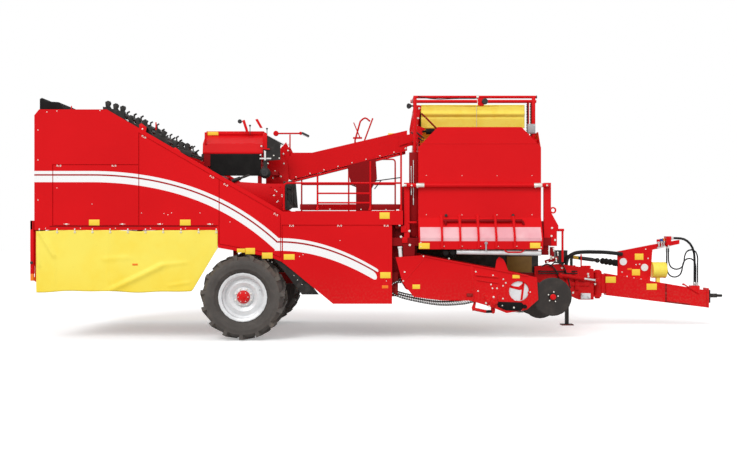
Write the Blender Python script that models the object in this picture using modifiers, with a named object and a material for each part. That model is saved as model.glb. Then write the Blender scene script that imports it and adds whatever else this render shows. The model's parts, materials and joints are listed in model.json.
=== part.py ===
# Trailed two-row potato harvester with a bunker, in metres.
# X points forward to the drawbar, Y to the machine's left and Z up.
# The origin lies on the ground under the middle of the machine's outline.

import math

import bmesh
import bpy
from mathutils import Matrix, Vector
from mathutils.geometry import interpolate_bezier

GAP = 0.0003                 # gap between pieces that touch

# Overall size and the planes that most pieces line up with
FRONT_X = 5.53               # tip of the towing eye
REAR_X = -5.53               # back of the tail lamps
HALF_WIDTH = 1.65            # half of the transport width
SIDE_Y = HALF_WIDTH - 0.15   # outer face of the side panels, from the middle

# Rear body
BODY_REAR_X = -5.467
SHEET = 0.016                # cladding and doors
FRAME_SHEET = 0.040          # pressed frame behind the cladding
SEAM = 0.012                 # gap round a door
FLANGE = 0.060               # width of the frame that shows behind a door's edge
ROOF_Z = 3.427
ROOF_FRONT_X = -4.392        # where the flat roof turns down
SLOPE_END_X = -1.776
SLOPE_END_Z = 1.910
SILL_Z = 1.635               # lower edge of the rear body
DOOR_FOOT_Z = 1.700
REAR_DOOR_TOP_Z = 2.604
COLUMN_X = -5.192            # seams between the doors, from the rear
MID_SEAM_X = -3.914
FRONT_SEAM_X = -2.721
LOWER_SEAM_X = -1.780
PANEL_END_X = -0.146
SLOPE_RIM = 0.075            # cladding left above the sloping doors
BELLY_Z = 0.532              # lower edge of the front door
TOE_TOP_Z = 1.925            # top of the platform's edge board
TOE_END_X = 0.010

# Wheels
WHEEL_X = -2.360
RIM_R = 0.3366
FLANGE_R = RIM_R + 0.0254
LUG = 0.034
LUG_PAIRS = 15
WHEEL_STEPS = 24
# name, side, outer radius, width
WHEELS = (("right", -1, 0.640, 0.60), ("left", 1, 0.680, 0.71))

# Bunker
BUNKER_REAR_X = 0.240
BUNKER_FRONT_X = 2.070
BUNKER_Y = SIDE_Y - 0.05
BUNKER_TOP_Z = 3.170
BUNKER_FOOT_Z = 1.350
BUNKER_SHEET = 0.010
SKIRT_TOP_Z = 1.820
SKIRT_EDGE_Z = 1.520

# Intake
INTAKE_LEFT_Y = 0.100
INTAKE_SHEET = 0.015
INTAKE_PIVOT = (0.100, 0.950)
INTAKE_PIN = 0.030
PIN_SIDES = 20
SHARE_TIP_X = 1.880

# Front frame and drawbar
PIVOT_X = 3.400
BEAM_Y = HALF_WIDTH - 0.95
JACK_X = 2.910
JACK_Y = BEAM_Y + 0.16
JACK_TRAVEL = 0.300
JACK_LEG = 0.030             # half of the leg's width
JACK_TUBE = 0.045            # half of the sleeve's width

for old in list(bpy.data.objects):
    bpy.data.objects.remove(old, do_unlink=True)

harvester = bpy.data.collections.new("potato_harvester")
guides = bpy.data.collections.new("guides")
for group in (harvester, guides):
    bpy.context.scene.collection.children.link(group)


# Colours: name, red, green, blue, roughness, metallic
PAINTS = (
    ("red", 0.72, 0.010, 0.012, 0.35, 0.0),
    ("dark_red", 0.30, 0.010, 0.012, 0.45, 0.0),
    ("black_rubber", 0.020, 0.020, 0.020, 0.80, 0.0),
    ("black_steel", 0.030, 0.030, 0.032, 0.50, 0.3),
    ("steel", 0.55, 0.56, 0.57, 0.35, 1.0),
    ("rim_silver", 0.70, 0.71, 0.72, 0.40, 0.2),
    ("tyre", 0.045, 0.042, 0.040, 0.90, 0.0),
    ("tarp_yellow", 0.95, 0.72, 0.08, 0.60, 0.0),
    ("guard_yellow", 0.90, 0.62, 0.02, 0.50, 0.0),
    ("lamp", 0.60, 0.02, 0.02, 0.20, 0.0),
)
paint = {}
for label, red, green, blue, rough, metal in PAINTS:
    material = bpy.data.materials.new(label)
    material.use_nodes = True
    shader = material.node_tree.nodes["Principled BSDF"]
    shader.inputs["Base Color"].default_value = (red, green, blue, 1.0)
    shader.inputs["Roughness"].default_value = rough
    shader.inputs["Metallic"].default_value = metal
    paint[label] = material


# Modelling helpers

def placed(bm, name="piece"):
    """Turn a bmesh into a working object."""
    mesh = bpy.data.meshes.new(name)
    bmesh.ops.recalc_face_normals(bm, faces=bm.faces)
    bm.to_mesh(mesh)
    bm.free()
    piece = bpy.data.objects.new(name, mesh)
    guides.objects.link(piece)
    return piece


def as_mesh(source, weld=1e-5):
    """Apply a working object's modifiers and place, and weld its doubles."""
    bpy.context.view_layer.update()
    graph = bpy.context.evaluated_depsgraph_get()
    mesh = bpy.data.meshes.new_from_object(source.evaluated_get(graph))
    mesh.transform(source.matrix_world)
    bm = bmesh.new()
    bm.from_mesh(mesh)
    bmesh.ops.remove_doubles(bm, verts=bm.verts, dist=weld)
    bpy.data.objects.remove(source, do_unlink=True)
    bpy.data.meshes.remove(mesh)
    return placed(bm)


def box(x0, x1, y0, y1, z0, z1):
    bm = bmesh.new()
    bmesh.ops.create_cube(bm, size=1.0)
    bmesh.ops.scale(bm, vec=(x1 - x0, y1 - y0, z1 - z0), verts=bm.verts)
    middle = ((x0 + x1) / 2, (y0 + y1) / 2, (z0 + z1) / 2)
    bmesh.ops.translate(bm, vec=middle, verts=bm.verts)
    return placed(bm)


def rod(start, end, radius, sides=10, end_radius=None):
    """A straight round bar or cone between two points."""
    start, end = Vector(start), Vector(end)
    run = end - start
    bm = bmesh.new()
    bmesh.ops.create_cone(
        bm, cap_ends=True, segments=sides, radius1=radius,
        radius2=radius if end_radius is None else end_radius, depth=run.length)
    turn = Vector((0, 0, 1)).rotation_difference(run.normalized()).to_matrix()
    bmesh.ops.rotate(bm, cent=(0, 0, 0), matrix=turn, verts=bm.verts)
    bmesh.ops.translate(bm, vec=(start + end) / 2, verts=bm.verts)
    return placed(bm)


# How an outline's two directions lie in space, by the axis it is extruded along
LAY = {
    "x": Matrix(((0, 0, 1, 0), (1, 0, 0, 0), (0, 1, 0, 0), (0, 0, 0, 1))),
    "y": Matrix(((1, 0, 0, 0), (0, 0, -1, 0), (0, 1, 0, 0), (0, 0, 0, 1))),
    "z": Matrix.Identity(4),
}


def flat_piece(outlines, low, high, across="y"):
    """Extrude outlines along one axis; outlines inside the first are holes."""
    curve = bpy.data.curves.new("outline", "CURVE")
    curve.dimensions = "2D"
    curve.fill_mode = "BOTH"
    curve.extrude = (high - low) / 2
    for outline in outlines:
        spline = curve.splines.new("POLY")
        spline.points.add(len(outline) - 1)
        for point, (u, v) in zip(spline.points, outline):
            point.co = (u, v, 0, 1)
        spline.use_cyclic_u = True
    piece = bpy.data.objects.new("outline", curve)
    guides.objects.link(piece)
    shift = Vector((0, 0, 0))
    shift["xyz".index(across)] = (low + high) / 2
    piece.matrix_world = Matrix.Translation(shift) @ LAY[across]
    return as_mesh(piece)


def arc(u, v, radius, start, end, steps):
    """Points of an arc in an outline, angles in degrees."""
    points = []
    for step in range(steps + 1):
        angle = math.radians(start + (end - start) * step / steps)
        points.append((u + radius * math.cos(angle), v + radius * math.sin(angle)))
    return points


def circle(u, v, radius, steps=24):
    return arc(u, v, radius, 0, 360 - 360 / steps, steps - 1)


def bore(radius, sides):
    """Corner radius of a bore whose flats clear a turning pin."""
    return (radius + GAP) / math.cos(math.pi / sides)


def rectangle(u0, u1, v0, v1):
    return [(u0, v0), (u1, v0), (u1, v1), (u0, v1)]


def inset(outline, distance):
    """Move every side of an outline inwards by one distance."""
    count = len(outline)
    area = sum(outline[i][0] * outline[(i + 1) % count][1]
               - outline[(i + 1) % count][0] * outline[i][1] for i in range(count))
    turn = 1 if area > 0 else -1
    moved = []
    for i in range(count):
        before, here, after = (Vector(outline[i - 1]), Vector(outline[i]),
                               Vector(outline[(i + 1) % count]))
        first = (here - before).normalized()
        second = (after - here).normalized()
        normal_1 = Vector((-first.y, first.x)) * turn
        normal_2 = Vector((-second.y, second.x)) * turn
        miter = (normal_1 + normal_2) / (1 + normal_1.dot(normal_2))
        moved.append(tuple(here + miter * distance))
    return moved


def bent(points, radius, steps=4):
    """Round the corners of a path in space with arcs of one radius."""
    path = [Vector(points[0])]
    for before, here, after in zip(points, points[1:], points[2:]):
        before, here, after = Vector(before), Vector(here), Vector(after)
        back, ahead = (before - here), (after - here)
        half = back.angle(ahead) / 2
        reach = min(radius / math.tan(half), back.length * 0.49, ahead.length * 0.49)
        first = here + back.normalized() * reach
        last = here + ahead.normalized() * reach
        for step in range(steps + 1):
            t = step / steps
            path.append(first * (1 - t) ** 2 + here * 2 * t * (1 - t) + last * t ** 2)
    path.append(Vector(points[-1]))
    return path


def pipe(points, radius, bend=0.0, resolution=2, steps=4):
    """A round tube along a path, its corners rounded."""
    path = bent(points, bend, steps) if bend else [Vector(p) for p in points]
    curve = bpy.data.curves.new("pipe", "CURVE")
    curve.dimensions = "3D"
    curve.bevel_depth = radius
    curve.bevel_resolution = resolution
    curve.use_fill_caps = True
    spline = curve.splines.new("POLY")
    spline.points.add(len(path) - 1)
    for point, place in zip(spline.points, path):
        point.co = (*place, 1)
    piece = bpy.data.objects.new("pipe", curve)
    guides.objects.link(piece)
    return as_mesh(piece)


def flowing(route, spacing):
    """Points a spacing apart on a smooth curve through a route."""
    route = [Vector(p) for p in route]
    ends = [2 * route[0] - route[1], *route, 2 * route[-1] - route[-2]]
    points = [route[0]]
    for before, here, after, beyond in zip(ends, ends[1:], ends[2:], ends[3:]):
        reach = (after - here).length / 3
        count = max(1, round(3 * reach / spacing))
        points += interpolate_bezier(here, here + (after - before).normalized() * reach,
                                     after - (beyond - here).normalized() * reach,
                                     after, count + 1)[1:]
    return points


def turned(profile, centre, direction, steps):
    """Turn a profile of (radius, height) about an axis with a Screw modifier."""
    mesh = bpy.data.meshes.new("profile")
    closed = profile[0][0] > 1e-6
    edges = [(i, i + 1) for i in range(len(profile) - 1)]
    if closed:
        edges.append((len(profile) - 1, 0))
    mesh.from_pydata([(r, 0, h) for r, h in profile], edges, [])
    piece = bpy.data.objects.new("turned", mesh)
    guides.objects.link(piece)
    screw = piece.modifiers.new("turn", "SCREW")
    screw.steps = steps
    screw.render_steps = steps
    screw.use_merge_vertices = True
    screw.merge_threshold = 0.0001
    turn = Vector((0, 0, 1)).rotation_difference(Vector(direction)).to_matrix()
    piece.matrix_world = Matrix.Translation(centre) @ turn.to_4x4()
    return as_mesh(piece)


def gathered(pieces):
    """Put separate pieces in one object, still as separate bodies."""
    bm = bmesh.new()
    for piece in pieces:
        bm.from_mesh(piece.data)
        bpy.data.objects.remove(piece, do_unlink=True)
    return placed(bm)


def combined(base, others, operation):
    for other in others:
        step = base.modifiers.new("step", "BOOLEAN")
        step.operation = operation
        step.solver = "EXACT"
        step.object = other
    result = as_mesh(base, weld=2e-6)
    for other in others:
        bpy.data.objects.remove(other, do_unlink=True)
    return result


def joined(*pieces):
    """Join pieces that run into each other into one body."""
    return combined(pieces[0], pieces[1:], "UNION")


def cut(piece, *cutters):
    return combined(piece, cutters, "DIFFERENCE")


def turned_about(piece, angle, centre, axis):
    """Turn a working piece by degrees about an axis through a point."""
    turn = Matrix.Rotation(math.radians(angle), 4, axis)
    place = Matrix.Translation(centre)
    piece.data.transform(place @ turn @ place.inverted())
    return piece


def moved(piece, x=0.0, y=0.0, z=0.0):
    piece.data.transform(Matrix.Translation((x, y, z)))
    return piece


def pivot(name, place):
    """An empty on a joint's axis, which carries the pieces that move on it."""
    empty = bpy.data.objects.new(name, None)
    empty.location = place
    empty.empty_display_size = 0.2
    harvester.objects.link(empty)
    return empty


def finished(name, piece, colour, carrier=None, smooth=False):
    """Name a working piece as one of the machine's sub-parts."""
    guides.objects.unlink(piece)
    harvester.objects.link(piece)
    piece.name = name
    piece.data.name = name
    piece.data.materials.clear()
    piece.data.materials.append(paint[colour])
    if smooth:
        piece.data.shade_smooth()
        piece.data.set_sharp_from_angle(angle=math.radians(35))
    if carrier:
        piece.data.transform(Matrix.Translation(-carrier.location))
        piece.parent = carrier
    return piece


def roof_z(x):
    """Height of the rear body's upper edge."""
    fall = (ROOF_Z - SLOPE_END_Z) / (SLOPE_END_X - ROOF_FRONT_X)
    return ROOF_Z - max(0.0, x - ROOF_FRONT_X) * fall


# Wheels

def make_wheel(name, side, radius, width):
    hub_y = side * (HALF_WIDTH - width / 2)
    centre = (WHEEL_X, hub_y, radius)
    out = (0, side, 0)
    carrier = pivot(f"wheel_{name}_pivot", centre)
    tread = radius - LUG
    lip = width * 0.385
    half = width / 2
    side_r = (tread + RIM_R) / 2
    outer_half = [
        (RIM_R + GAP, lip - 0.0006), (FLANGE_R + 0.004, lip + 0.0025),
        (side_r - 0.05, half - 0.010), (side_r + 0.02, half), (tread - 0.055, half - 0.010),
        (tread - 0.006, half * 0.72)]
    profile = outer_half + [(r, -h) for r, h in reversed(outer_half)]
    tyre = turned(profile, centre, out, WHEEL_STEPS)
    lugs = []
    for step in range(LUG_PAIRS * 2):
        hand = 1 if step % 2 else -1
        bar = [(-0.024, -0.010), (0.030, -0.010), (0.185, half * 0.96), (0.125, half * 0.96)]
        lug = flat_piece([[(u, v * hand) for u, v in bar]], tread - 0.05, radius, "z")
        for vertex in lug.data.vertices:
            along_tread, across, height = vertex.co
            if abs(across) > half * 0.5:
                height -= 0.016
            angle = along_tread / radius + 2 * math.pi * step / (LUG_PAIRS * 2)
            vertex.co = (height * math.sin(angle), across, height * math.cos(angle))
        lugs.append(moved(lug, *centre))
    finished(f"tyre_{name}", joined(tyre, gathered(lugs)), "tyre", carrier, smooth=True)

    edge = lip + 0.004
    dish = 0.115
    drop = RIM_R - 0.0206        # inside of the rim's well
    rim_profile = [
        (0.0, dish), (0.150, dish), (0.215, dish + 0.028), (drop - 0.031, dish + 0.012),
        (drop - 0.003, dish + 0.030), (drop, edge), (FLANGE_R - 0.017, edge + 0.012),
        (FLANGE_R, edge + 0.012), (FLANGE_R, edge), (RIM_R, lip), (RIM_R, -lip),
        (FLANGE_R, -edge), (FLANGE_R, -edge - 0.012), (drop, -edge),
        (drop - 0.003, dish - 0.010), (drop - 0.031, dish - 0.010), (0.215, dish + 0.008),
        (0.150, dish - 0.020), (0.0, dish - 0.020)]
    finished(f"rim_{name}", turned(rim_profile, centre, out, WHEEL_STEPS), "rim_silver",
             carrier, smooth=True)
    hub_profile = [(0.0, 0.205), (0.060, 0.205), (0.078, 0.190), (0.097, 0.150),
                   (0.140, 0.140), (0.140, dish + GAP), (0.0, dish + GAP)]
    finished(f"hub_{name}", turned(hub_profile, centre, out, 24), "red", carrier,
             smooth=True)
    return centre, dish - 0.020, half


def make_axle(places):
    (right, inner, right_half), (left, _, left_half) = places
    beam_z = (right[2] + left[2]) / 2
    right_depth, left_depth = right_half + 0.060, left_half + 0.055
    pieces = [box(WHEEL_X - 0.075, WHEEL_X + 0.075, right[1] + right_depth,
                  left[1] - left_depth, beam_z - 0.075, beam_z + 0.075)]
    for centre, side, depth in ((right, -1, right_depth), (left, 1, left_depth)):
        disc = centre[1] + side * (inner - GAP)
        root = centre[1] - side * (depth + 0.04)
        pieces.append(rod((WHEEL_X, root, centre[2]), (WHEEL_X, disc, centre[2]), 0.060, 12))
        pieces.append(rod((WHEEL_X, centre[1] - side * 0.20, centre[2]),
                          (WHEEL_X, centre[1] + side * 0.02, centre[2]), 0.205, 20))
    # Legs that carry the frame beside each wheel
    leg_y = right[1] + right_depth + 0.030
    pieces.append(box(WHEEL_X - 0.09, WHEEL_X + 0.09, leg_y, leg_y + 0.100, beam_z - 0.05,
                      RAIL_Z0 - GAP))
    pieces.append(box(WHEEL_X - 0.09, WHEEL_X + 0.09, left[1] - left_depth - 0.130,
                      left[1] - left_depth - 0.030, beam_z - 0.05, RAIL_Z0 - GAP))
    finished("axle", joined(*pieces), "dark_red", smooth=True)


# Main frame
RAIL_Z0, RAIL_Z1 = 1.400, 1.520          # upper right rail
RAIL_Y = SIDE_Y - 0.14                   # inner side of the right rail
RAIL_W = 0.080
SPINE_Y0, SPINE_Y1 = BEAM_Y - 0.14, BEAM_Y   # left rail, which reaches the drawbar
SPINE_Z0, SPINE_Z1 = 0.7353, 0.915
SPINE_FRONT_X = 2.420
FRAME_REAR_X = -5.420
BUNKER_BASE_X = (0.200, 2.000)
CROSS_W = 0.090
CHANNEL_Y = (0.015 - RAIL_Y, SPINE_Y0 - 0.015)   # inner faces of the web channel's cheeks
INNER_Y = SIDE_Y - FRAME_SHEET - SHEET + 0.012   # inner faces of the side frames


# Cross members: place, height of the lower face, left end
CROSS_MEMBERS = (
    (FRAME_REAR_X, RAIL_Z0 + 0.02, RAIL_Y + 0.02),
    (-3.96, RAIL_Z0 + 0.02, RAIL_Y + 0.02),
    (WHEEL_X - 0.45, RAIL_Z0 + 0.02, RAIL_Y + 0.02),
    (WHEEL_X - CROSS_W / 2, RAIL_Z0, RAIL_Y + 0.02),
    (-1.62, RAIL_Z0 + 0.02, RAIL_Y + 0.02),
    (BUNKER_BASE_X[0], RAIL_Z1 - 0.09, BUNKER_Y - 0.02),
    (BUNKER_BASE_X[1], RAIL_Z1 - 0.09, BUNKER_Y - 0.02),
)
RAIL_FRONT_X = 2.220


def make_chassis():
    pieces = [
        box(FRAME_REAR_X, RAIL_FRONT_X, -RAIL_Y - RAIL_W, -RAIL_Y, RAIL_Z0, RAIL_Z1),
        box(FRAME_REAR_X, -1.10, RAIL_Y, RAIL_Y + RAIL_W, RAIL_Z0 + 0.06, RAIL_Z1 + 0.06),
    ]
    for x, z, left in CROSS_MEMBERS:
        pieces.append(box(x, x + CROSS_W, -RAIL_Y - 0.02, left, z, z + CROSS_W))
    # Short posts that the side panels are bolted to
    for x in (FRAME_REAR_X + 0.005, MID_SEAM_X - 0.035, FRONT_SEAM_X - 0.035):
        pieces.append(box(x, x + 0.07, GAP - INNER_Y, -RAIL_Y - 0.01, RAIL_Z1 - 0.02,
                          DOOR_FOOT_Z))
        pieces.append(box(x, x + 0.07, RAIL_Y + 0.01, INNER_Y - GAP, RAIL_Z1 + 0.02,
                          DOOR_FOOT_Z))
    # Hanger at the right end of the intake's pivot
    px, pz = INTAKE_PIVOT
    hanger = [(px - 0.09, RAIL_Z0 + 0.03), (px - 0.07, pz - 0.02), (px, pz - 0.065),
              (px + 0.07, pz - 0.02), (px + 0.09, RAIL_Z0 + 0.03)]
    pieces.append(flat_piece([hanger, circle(px, pz, bore(INTAKE_PIN, PIN_SIDES), PIN_SIDES)],
                             GAP + INTAKE_SHEET - SIDE_Y + 0.030, -RAIL_Y - 0.07))
    finished("chassis_frame", joined(*pieces), "dark_red")
    # The left rail low down, which reaches the drawbar, with its uprights
    spine = [box(-2.90, SPINE_FRONT_X, SPINE_Y0, SPINE_Y1, SPINE_Z0, SPINE_Z1)]
    for index in (2, 4, 5, 6):
        x, z, _ = CROSS_MEMBERS[index]
        spine.append(box(x + 0.01, x + 0.08, SPINE_Y0 + 0.02, SPINE_Y1 - 0.02,
                         SPINE_Z1 - 0.02, z - GAP))
    finished("spine", joined(*spine), "dark_red")


# Side panels and their doors

def door_zones():
    """Seam outlines of the three doors of the rear body and of the front door."""
    def rim(x):
        return roof_z(x) - SLOPE_RIM
    jamb = LOWER_SEAM_X - 0.030
    rear = [(COLUMN_X, DOOR_FOOT_Z), (MID_SEAM_X, DOOR_FOOT_Z),
            (MID_SEAM_X, REAR_DOOR_TOP_Z), (COLUMN_X, REAR_DOOR_TOP_Z)]
    mid = [(MID_SEAM_X, DOOR_FOOT_Z), (FRONT_SEAM_X, DOOR_FOOT_Z),
           (FRONT_SEAM_X, rim(FRONT_SEAM_X)), (MID_SEAM_X, rim(MID_SEAM_X))]
    front = [(FRONT_SEAM_X, 1.425), (-1.966, 1.290), (jamb, 1.225),
             (jamb, rim(jamb)), (FRONT_SEAM_X, rim(FRONT_SEAM_X))]
    lower = [(LOWER_SEAM_X, 1.150), (-1.031, BELLY_Z), (PANEL_END_X, BELLY_Z),
             (PANEL_END_X, DOOR_FOOT_Z), (LOWER_SEAM_X, DOOR_FOOT_Z)]
    whole = [rear[0], rear[1], (FRONT_SEAM_X, DOOR_FOOT_Z), front[0], front[1], front[2],
             front[3], mid[3], rear[2], rear[3]]
    whole.remove(rear[1])
    return rear, mid, front, lower, whole


def make_right_side():
    rear, mid, front, lower, whole = door_zones()
    strip = DOOR_FOOT_Z + SEAM
    cladding = [
        (BODY_REAR_X, SILL_Z), (-2.739, SILL_Z), (-2.739, 1.372), (-1.966, 1.235),
        (-1.802, 1.168), (LOWER_SEAM_X - SEAM, 1.160), (LOWER_SEAM_X - SEAM, strip),
        (TOE_END_X, strip), (TOE_END_X, TOE_TOP_Z), (SLOPE_END_X, SLOPE_END_Z),
        (ROOF_FRONT_X, ROOF_Z), (-5.397, ROOF_Z), (BODY_REAR_X, 3.340)]
    outer = flat_piece([cladding, inset(whole, -SEAM / 2)], -SIDE_Y, -SIDE_Y + SHEET + 0.012)
    frame_outline = [
        (BODY_REAR_X, SILL_Z), (-2.739, SILL_Z), (-2.739, 1.372), (-1.966, 1.235),
        (-1.802, 1.168), (-1.020, BELLY_Z + 0.02), (PANEL_END_X - 0.01, BELLY_Z + 0.02),
        (PANEL_END_X - 0.01, strip), (TOE_END_X, strip), (TOE_END_X, TOE_TOP_Z - 0.001),
        (SLOPE_END_X, SLOPE_END_Z - 0.001), (ROOF_FRONT_X, ROOF_Z - 0.001),
        (-5.397, ROOF_Z - 0.001), (BODY_REAR_X, 3.340)]
    holes = [inset(zone, FLANGE) for zone in (rear, mid, front, lower)]
    frame = flat_piece([frame_outline] + holes, -SIDE_Y + SHEET, -INNER_Y)
    finished("side_panel_right", joined(outer, frame), "red")

    for name, zone in (("door_rear", rear), ("door_mid", mid), ("door_front", front),
                       ("door_lower", lower)):
        leaf = inset(zone, SEAM / 2)
        top = [p for p in leaf if p[1] > 1.65 and p[1] > DOOR_FOOT_Z - 0.02
               and p[1] > sum(q[1] for q in leaf) / len(leaf)]
        hinge = max(top, key=lambda p: p[1])
        carrier = pivot(f"{name}_pivot", (hinge[0], -SIDE_Y, hinge[1]))
        piece = flat_piece([leaf], -SIDE_Y, -SIDE_Y + SHEET - GAP)
        finished(name, piece, "red", carrier)


def make_left_side():
    strip = DOOR_FOOT_Z + SEAM
    outline = [
        (BODY_REAR_X, SILL_Z), (-3.120, SILL_Z), (-3.120, 1.440), (-1.640, 1.440),
        (-1.400, 1.150), (-1.031, 0.960), (PANEL_END_X, 0.960), (PANEL_END_X, strip),
        (TOE_END_X, strip), (TOE_END_X, TOE_TOP_Z), (SLOPE_END_X, SLOPE_END_Z),
        (ROOF_FRONT_X, ROOF_Z), (-5.397, ROOF_Z), (BODY_REAR_X, 3.340)]
    finished("side_panel_left", flat_piece([outline], INNER_Y, SIDE_Y), "red")


def make_rear_body():
    inner = INNER_Y - GAP
    rear_face = BODY_REAR_X + 0.010
    wall = [(rear_face, SILL_Z), (rear_face, 3.335), (-5.392, ROOF_Z - 0.012),
            (ROOF_FRONT_X - 0.10, ROOF_Z - 0.012), (ROOF_FRONT_X - 0.10, ROOF_Z - 0.028),
            (-5.385, ROOF_Z - 0.028), (rear_face + SHEET, 3.328), (rear_face + SHEET, SILL_Z)]
    finished("rear_wall", flat_piece([wall], -inner, inner), "red")
    # Rubber deflector that stands on the rear edge of the roof
    foot = ROOF_Z - 0.012 + GAP
    crest = [(-5.385, foot), (-5.385, foot + 0.165), (-5.345, foot + 0.185),
             (-5.290, foot + 0.125), (-5.100, foot + 0.120), (-5.030, foot + 0.010),
             (-5.030, foot)]
    finished("rubber_deflector", flat_piece([crest], 0.156 - INNER_Y, INNER_Y - 0.356),
             "black_rubber")


# Haulm strippers: four frames of three finger rows on the sloping roof
# front-most top of each frame's first row: x, z
STRIPPERS = ((-4.430, 3.575), (-4.088, 3.359), (-3.801, 3.186), (-3.417, 2.981))
STRIPPER_ROWS = 3
ROW_PITCH = 0.112
ROW_DROP = 0.036
FINGERS = 3
FINGER_Y = 0.156 - INNER_Y               # first finger of a row
STRIPPER_Y = INNER_Y - 0.251             # left end of the rows


def make_haulm_strippers():
    bars, fingers = [], []
    for x0, z0 in STRIPPERS:
        for row in range(STRIPPER_ROWS):
            x, z = x0 + row * ROW_PITCH, z0 - row * ROW_DROP
            bars.append(box(x - 0.012, x + 0.028, -INNER_Y + 0.01, STRIPPER_Y - 0.01,
                            z - 0.135, z - 0.105))
            hook = [(x, z - 0.115), (x + 0.018, z - 0.115), (x + 0.012, z - 0.040),
                    (x + 0.045, z - 0.018), (x + 0.035, z), (x - 0.010, z - 0.025)]
            for step in range(FINGERS):
                y = FINGER_Y + step * (STRIPPER_Y - 0.105 - FINGER_Y) / (FINGERS - 1)
                fingers.append(flat_piece([hook], y, y + 0.030))
    last_drop = (STRIPPER_ROWS - 1) * ROW_DROP
    carrier = []
    for x0, z0 in STRIPPERS:
        carrier += [(x0 - 0.03, z0 - 0.100), (x0 + 0.27, z0 - 0.100 - last_drop)]
    last = STRIPPERS[-1]
    carrier += [(last[0] + 0.27, last[1] - 0.260), (STRIPPERS[0][0] - 0.03,
                                                    STRIPPERS[0][1] - 0.260)]
    plates = [flat_piece([carrier], y, y + 0.020)
              for y in (-INNER_Y + GAP, STRIPPER_Y - 0.020)]
    body = joined(gathered(bars), *plates)
    finished("haulm_strippers", joined(body, gathered(fingers)), "black_steel")


# Rod webs

BELT_STEP = 18               # degrees between the points of a belt's bend
WEB_BELT = 0.024


def loop_round(rollers, radius):
    """Outline of a belt round rollers that are listed counter-clockwise."""
    outline = []
    count = len(rollers)
    for i in range(count):
        before, here, after = (Vector(rollers[i - 1]), Vector(rollers[i]),
                               Vector(rollers[(i + 1) % count]))
        first = (here - before).normalized()
        second = (after - here).normalized()
        start = math.degrees(math.atan2(-first.x, first.y))
        end = math.degrees(math.atan2(-second.x, second.y))
        while end < start - 1e-6:
            end += 360
        if end - start > 300:
            end = start
        outline += arc(here.x, here.y, radius, start, end,
                       max(1, math.ceil((end - start) / BELT_STEP)))
    return outline


DRUM_SIDES = 12


def drum_radius(belt_inside):
    """Radius of a drum that just clears the flats of a belt's bend."""
    return belt_inside * math.cos(math.radians(BELT_STEP / 2)) - GAP


def along(outline, pitch):
    """Points at one pitch along a closed outline."""
    count = len(outline)
    total = sum((Vector(outline[(i + 1) % count]) - Vector(outline[i])).length
                for i in range(count))
    number = round(total / pitch)
    places, wanted, run = [], 0.0, 0.0
    for i in range(count):
        a, b = Vector(outline[i]), Vector(outline[(i + 1) % count])
        length = (b - a).length
        while wanted < run + length - 1e-9 and len(places) < number:
            places.append(tuple(a + (b - a) * ((wanted - run) / length)))
            wanted += total / number
        run += length
    return places


def rod_web(rollers, radius, y0, y1, pitch, belt=0.050, thick=WEB_BELT, rod_r=0.009):
    """A conveyor of cross rods between two belts, both ends of a rod in a belt."""
    outer = loop_round(rollers, radius)
    inner = loop_round(rollers, radius - thick)
    middle = loop_round(rollers, radius - thick / 2)
    belts = [flat_piece([outer, inner], y, y + belt) for y in (y0, y1 - belt)]
    bars = [rod((x, y0 + belt / 2, z), (x, y1 - belt / 2, z), rod_r, 4)
            for x, z in along(middle, pitch)]
    return joined(gathered(belts), gathered(bars))


MAIN_WEB = ((-0.42, 0.86), (-1.86, 1.66), (-4.85, 3.02))
MAIN_WEB_R = 0.090


def make_main_web():
    web = rod_web(MAIN_WEB, MAIN_WEB_R, CHANNEL_Y[0] + 0.025, CHANNEL_Y[1] - 0.025, 0.300)
    finished("main_web", web, "black_steel", smooth=True)


def make_web_channel():
    """Cheeks that the main web runs between, with its rollers."""
    cheek = [(-0.560, 0.760), (-0.300, 0.760), (-0.300, 1.020), (-1.180, 1.480),
             (-1.860, 1.800), (-4.800, 3.180), (-4.960, 3.180), (-4.960, 2.880),
             (-1.900, 1.430), (-1.600, 1.330)]
    pieces = [flat_piece([cheek], GAP - RAIL_Y, CHANNEL_Y[0]),
              flat_piece([cheek], CHANNEL_Y[1], SPINE_Y0 - GAP)]
    for x, _, _ in (CROSS_MEMBERS[4], CROSS_MEMBERS[3]):
        z = RAIL_Z0 - 0.02
        gap = rectangle(x - GAP, x + CROSS_W + GAP, z, RAIL_Z1 + GAP)
        pieces[0] = cut(pieces[0], flat_piece([gap], -RAIL_Y - 0.1, CHANNEL_Y[0] + 0.1))
        pieces[1] = cut(pieces[1], flat_piece([gap], CHANNEL_Y[1] - 0.1, SPINE_Y0 + 0.1))
    for x, z in MAIN_WEB:
        pieces.append(rod((x, CHANNEL_Y[0] + 0.02, z), (x, CHANNEL_Y[1] - 0.02, z),
                          drum_radius(MAIN_WEB_R - WEB_BELT), DRUM_SIDES))
        pieces.append(rod((x, CHANNEL_Y[0] - 0.005, z), (x, CHANNEL_Y[1] + 0.005, z), 0.020, 10))
    finished("web_channel", joined(*pieces), "dark_red", smooth=True)


# Tarpaulin skirt
TARP = 0.008
TARP_FOOT_Z = 0.715


def make_tarps():
    """One skirt round both sides and the rear."""
    top = SILL_Z - GAP
    rear = BODY_REAR_X + 0.0115
    side = [(rear, top), (-2.743, top), (-2.743, 1.365), (-3.126, TARP_FOOT_Z),
            (rear, TARP_FOOT_Z + 0.01)]
    left = [(rear, top), (-3.125, top), (-3.125, 1.30), (-3.30, TARP_FOOT_Z),
            (rear, TARP_FOOT_Z + 0.01)]
    y = SIDE_Y - 0.004
    lap = TARP / 8               # keeps the sheets' faces apart where they meet
    back = box(rear + lap, rear + lap + TARP, lap - y, y - lap, TARP_FOOT_Z + 0.01 + lap,
               top - lap)
    finished("tarp_skirt", joined(back, flat_piece([side], -y, -y + TARP),
                                  flat_piece([left], y - TARP, y)), "tarp_yellow")


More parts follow.
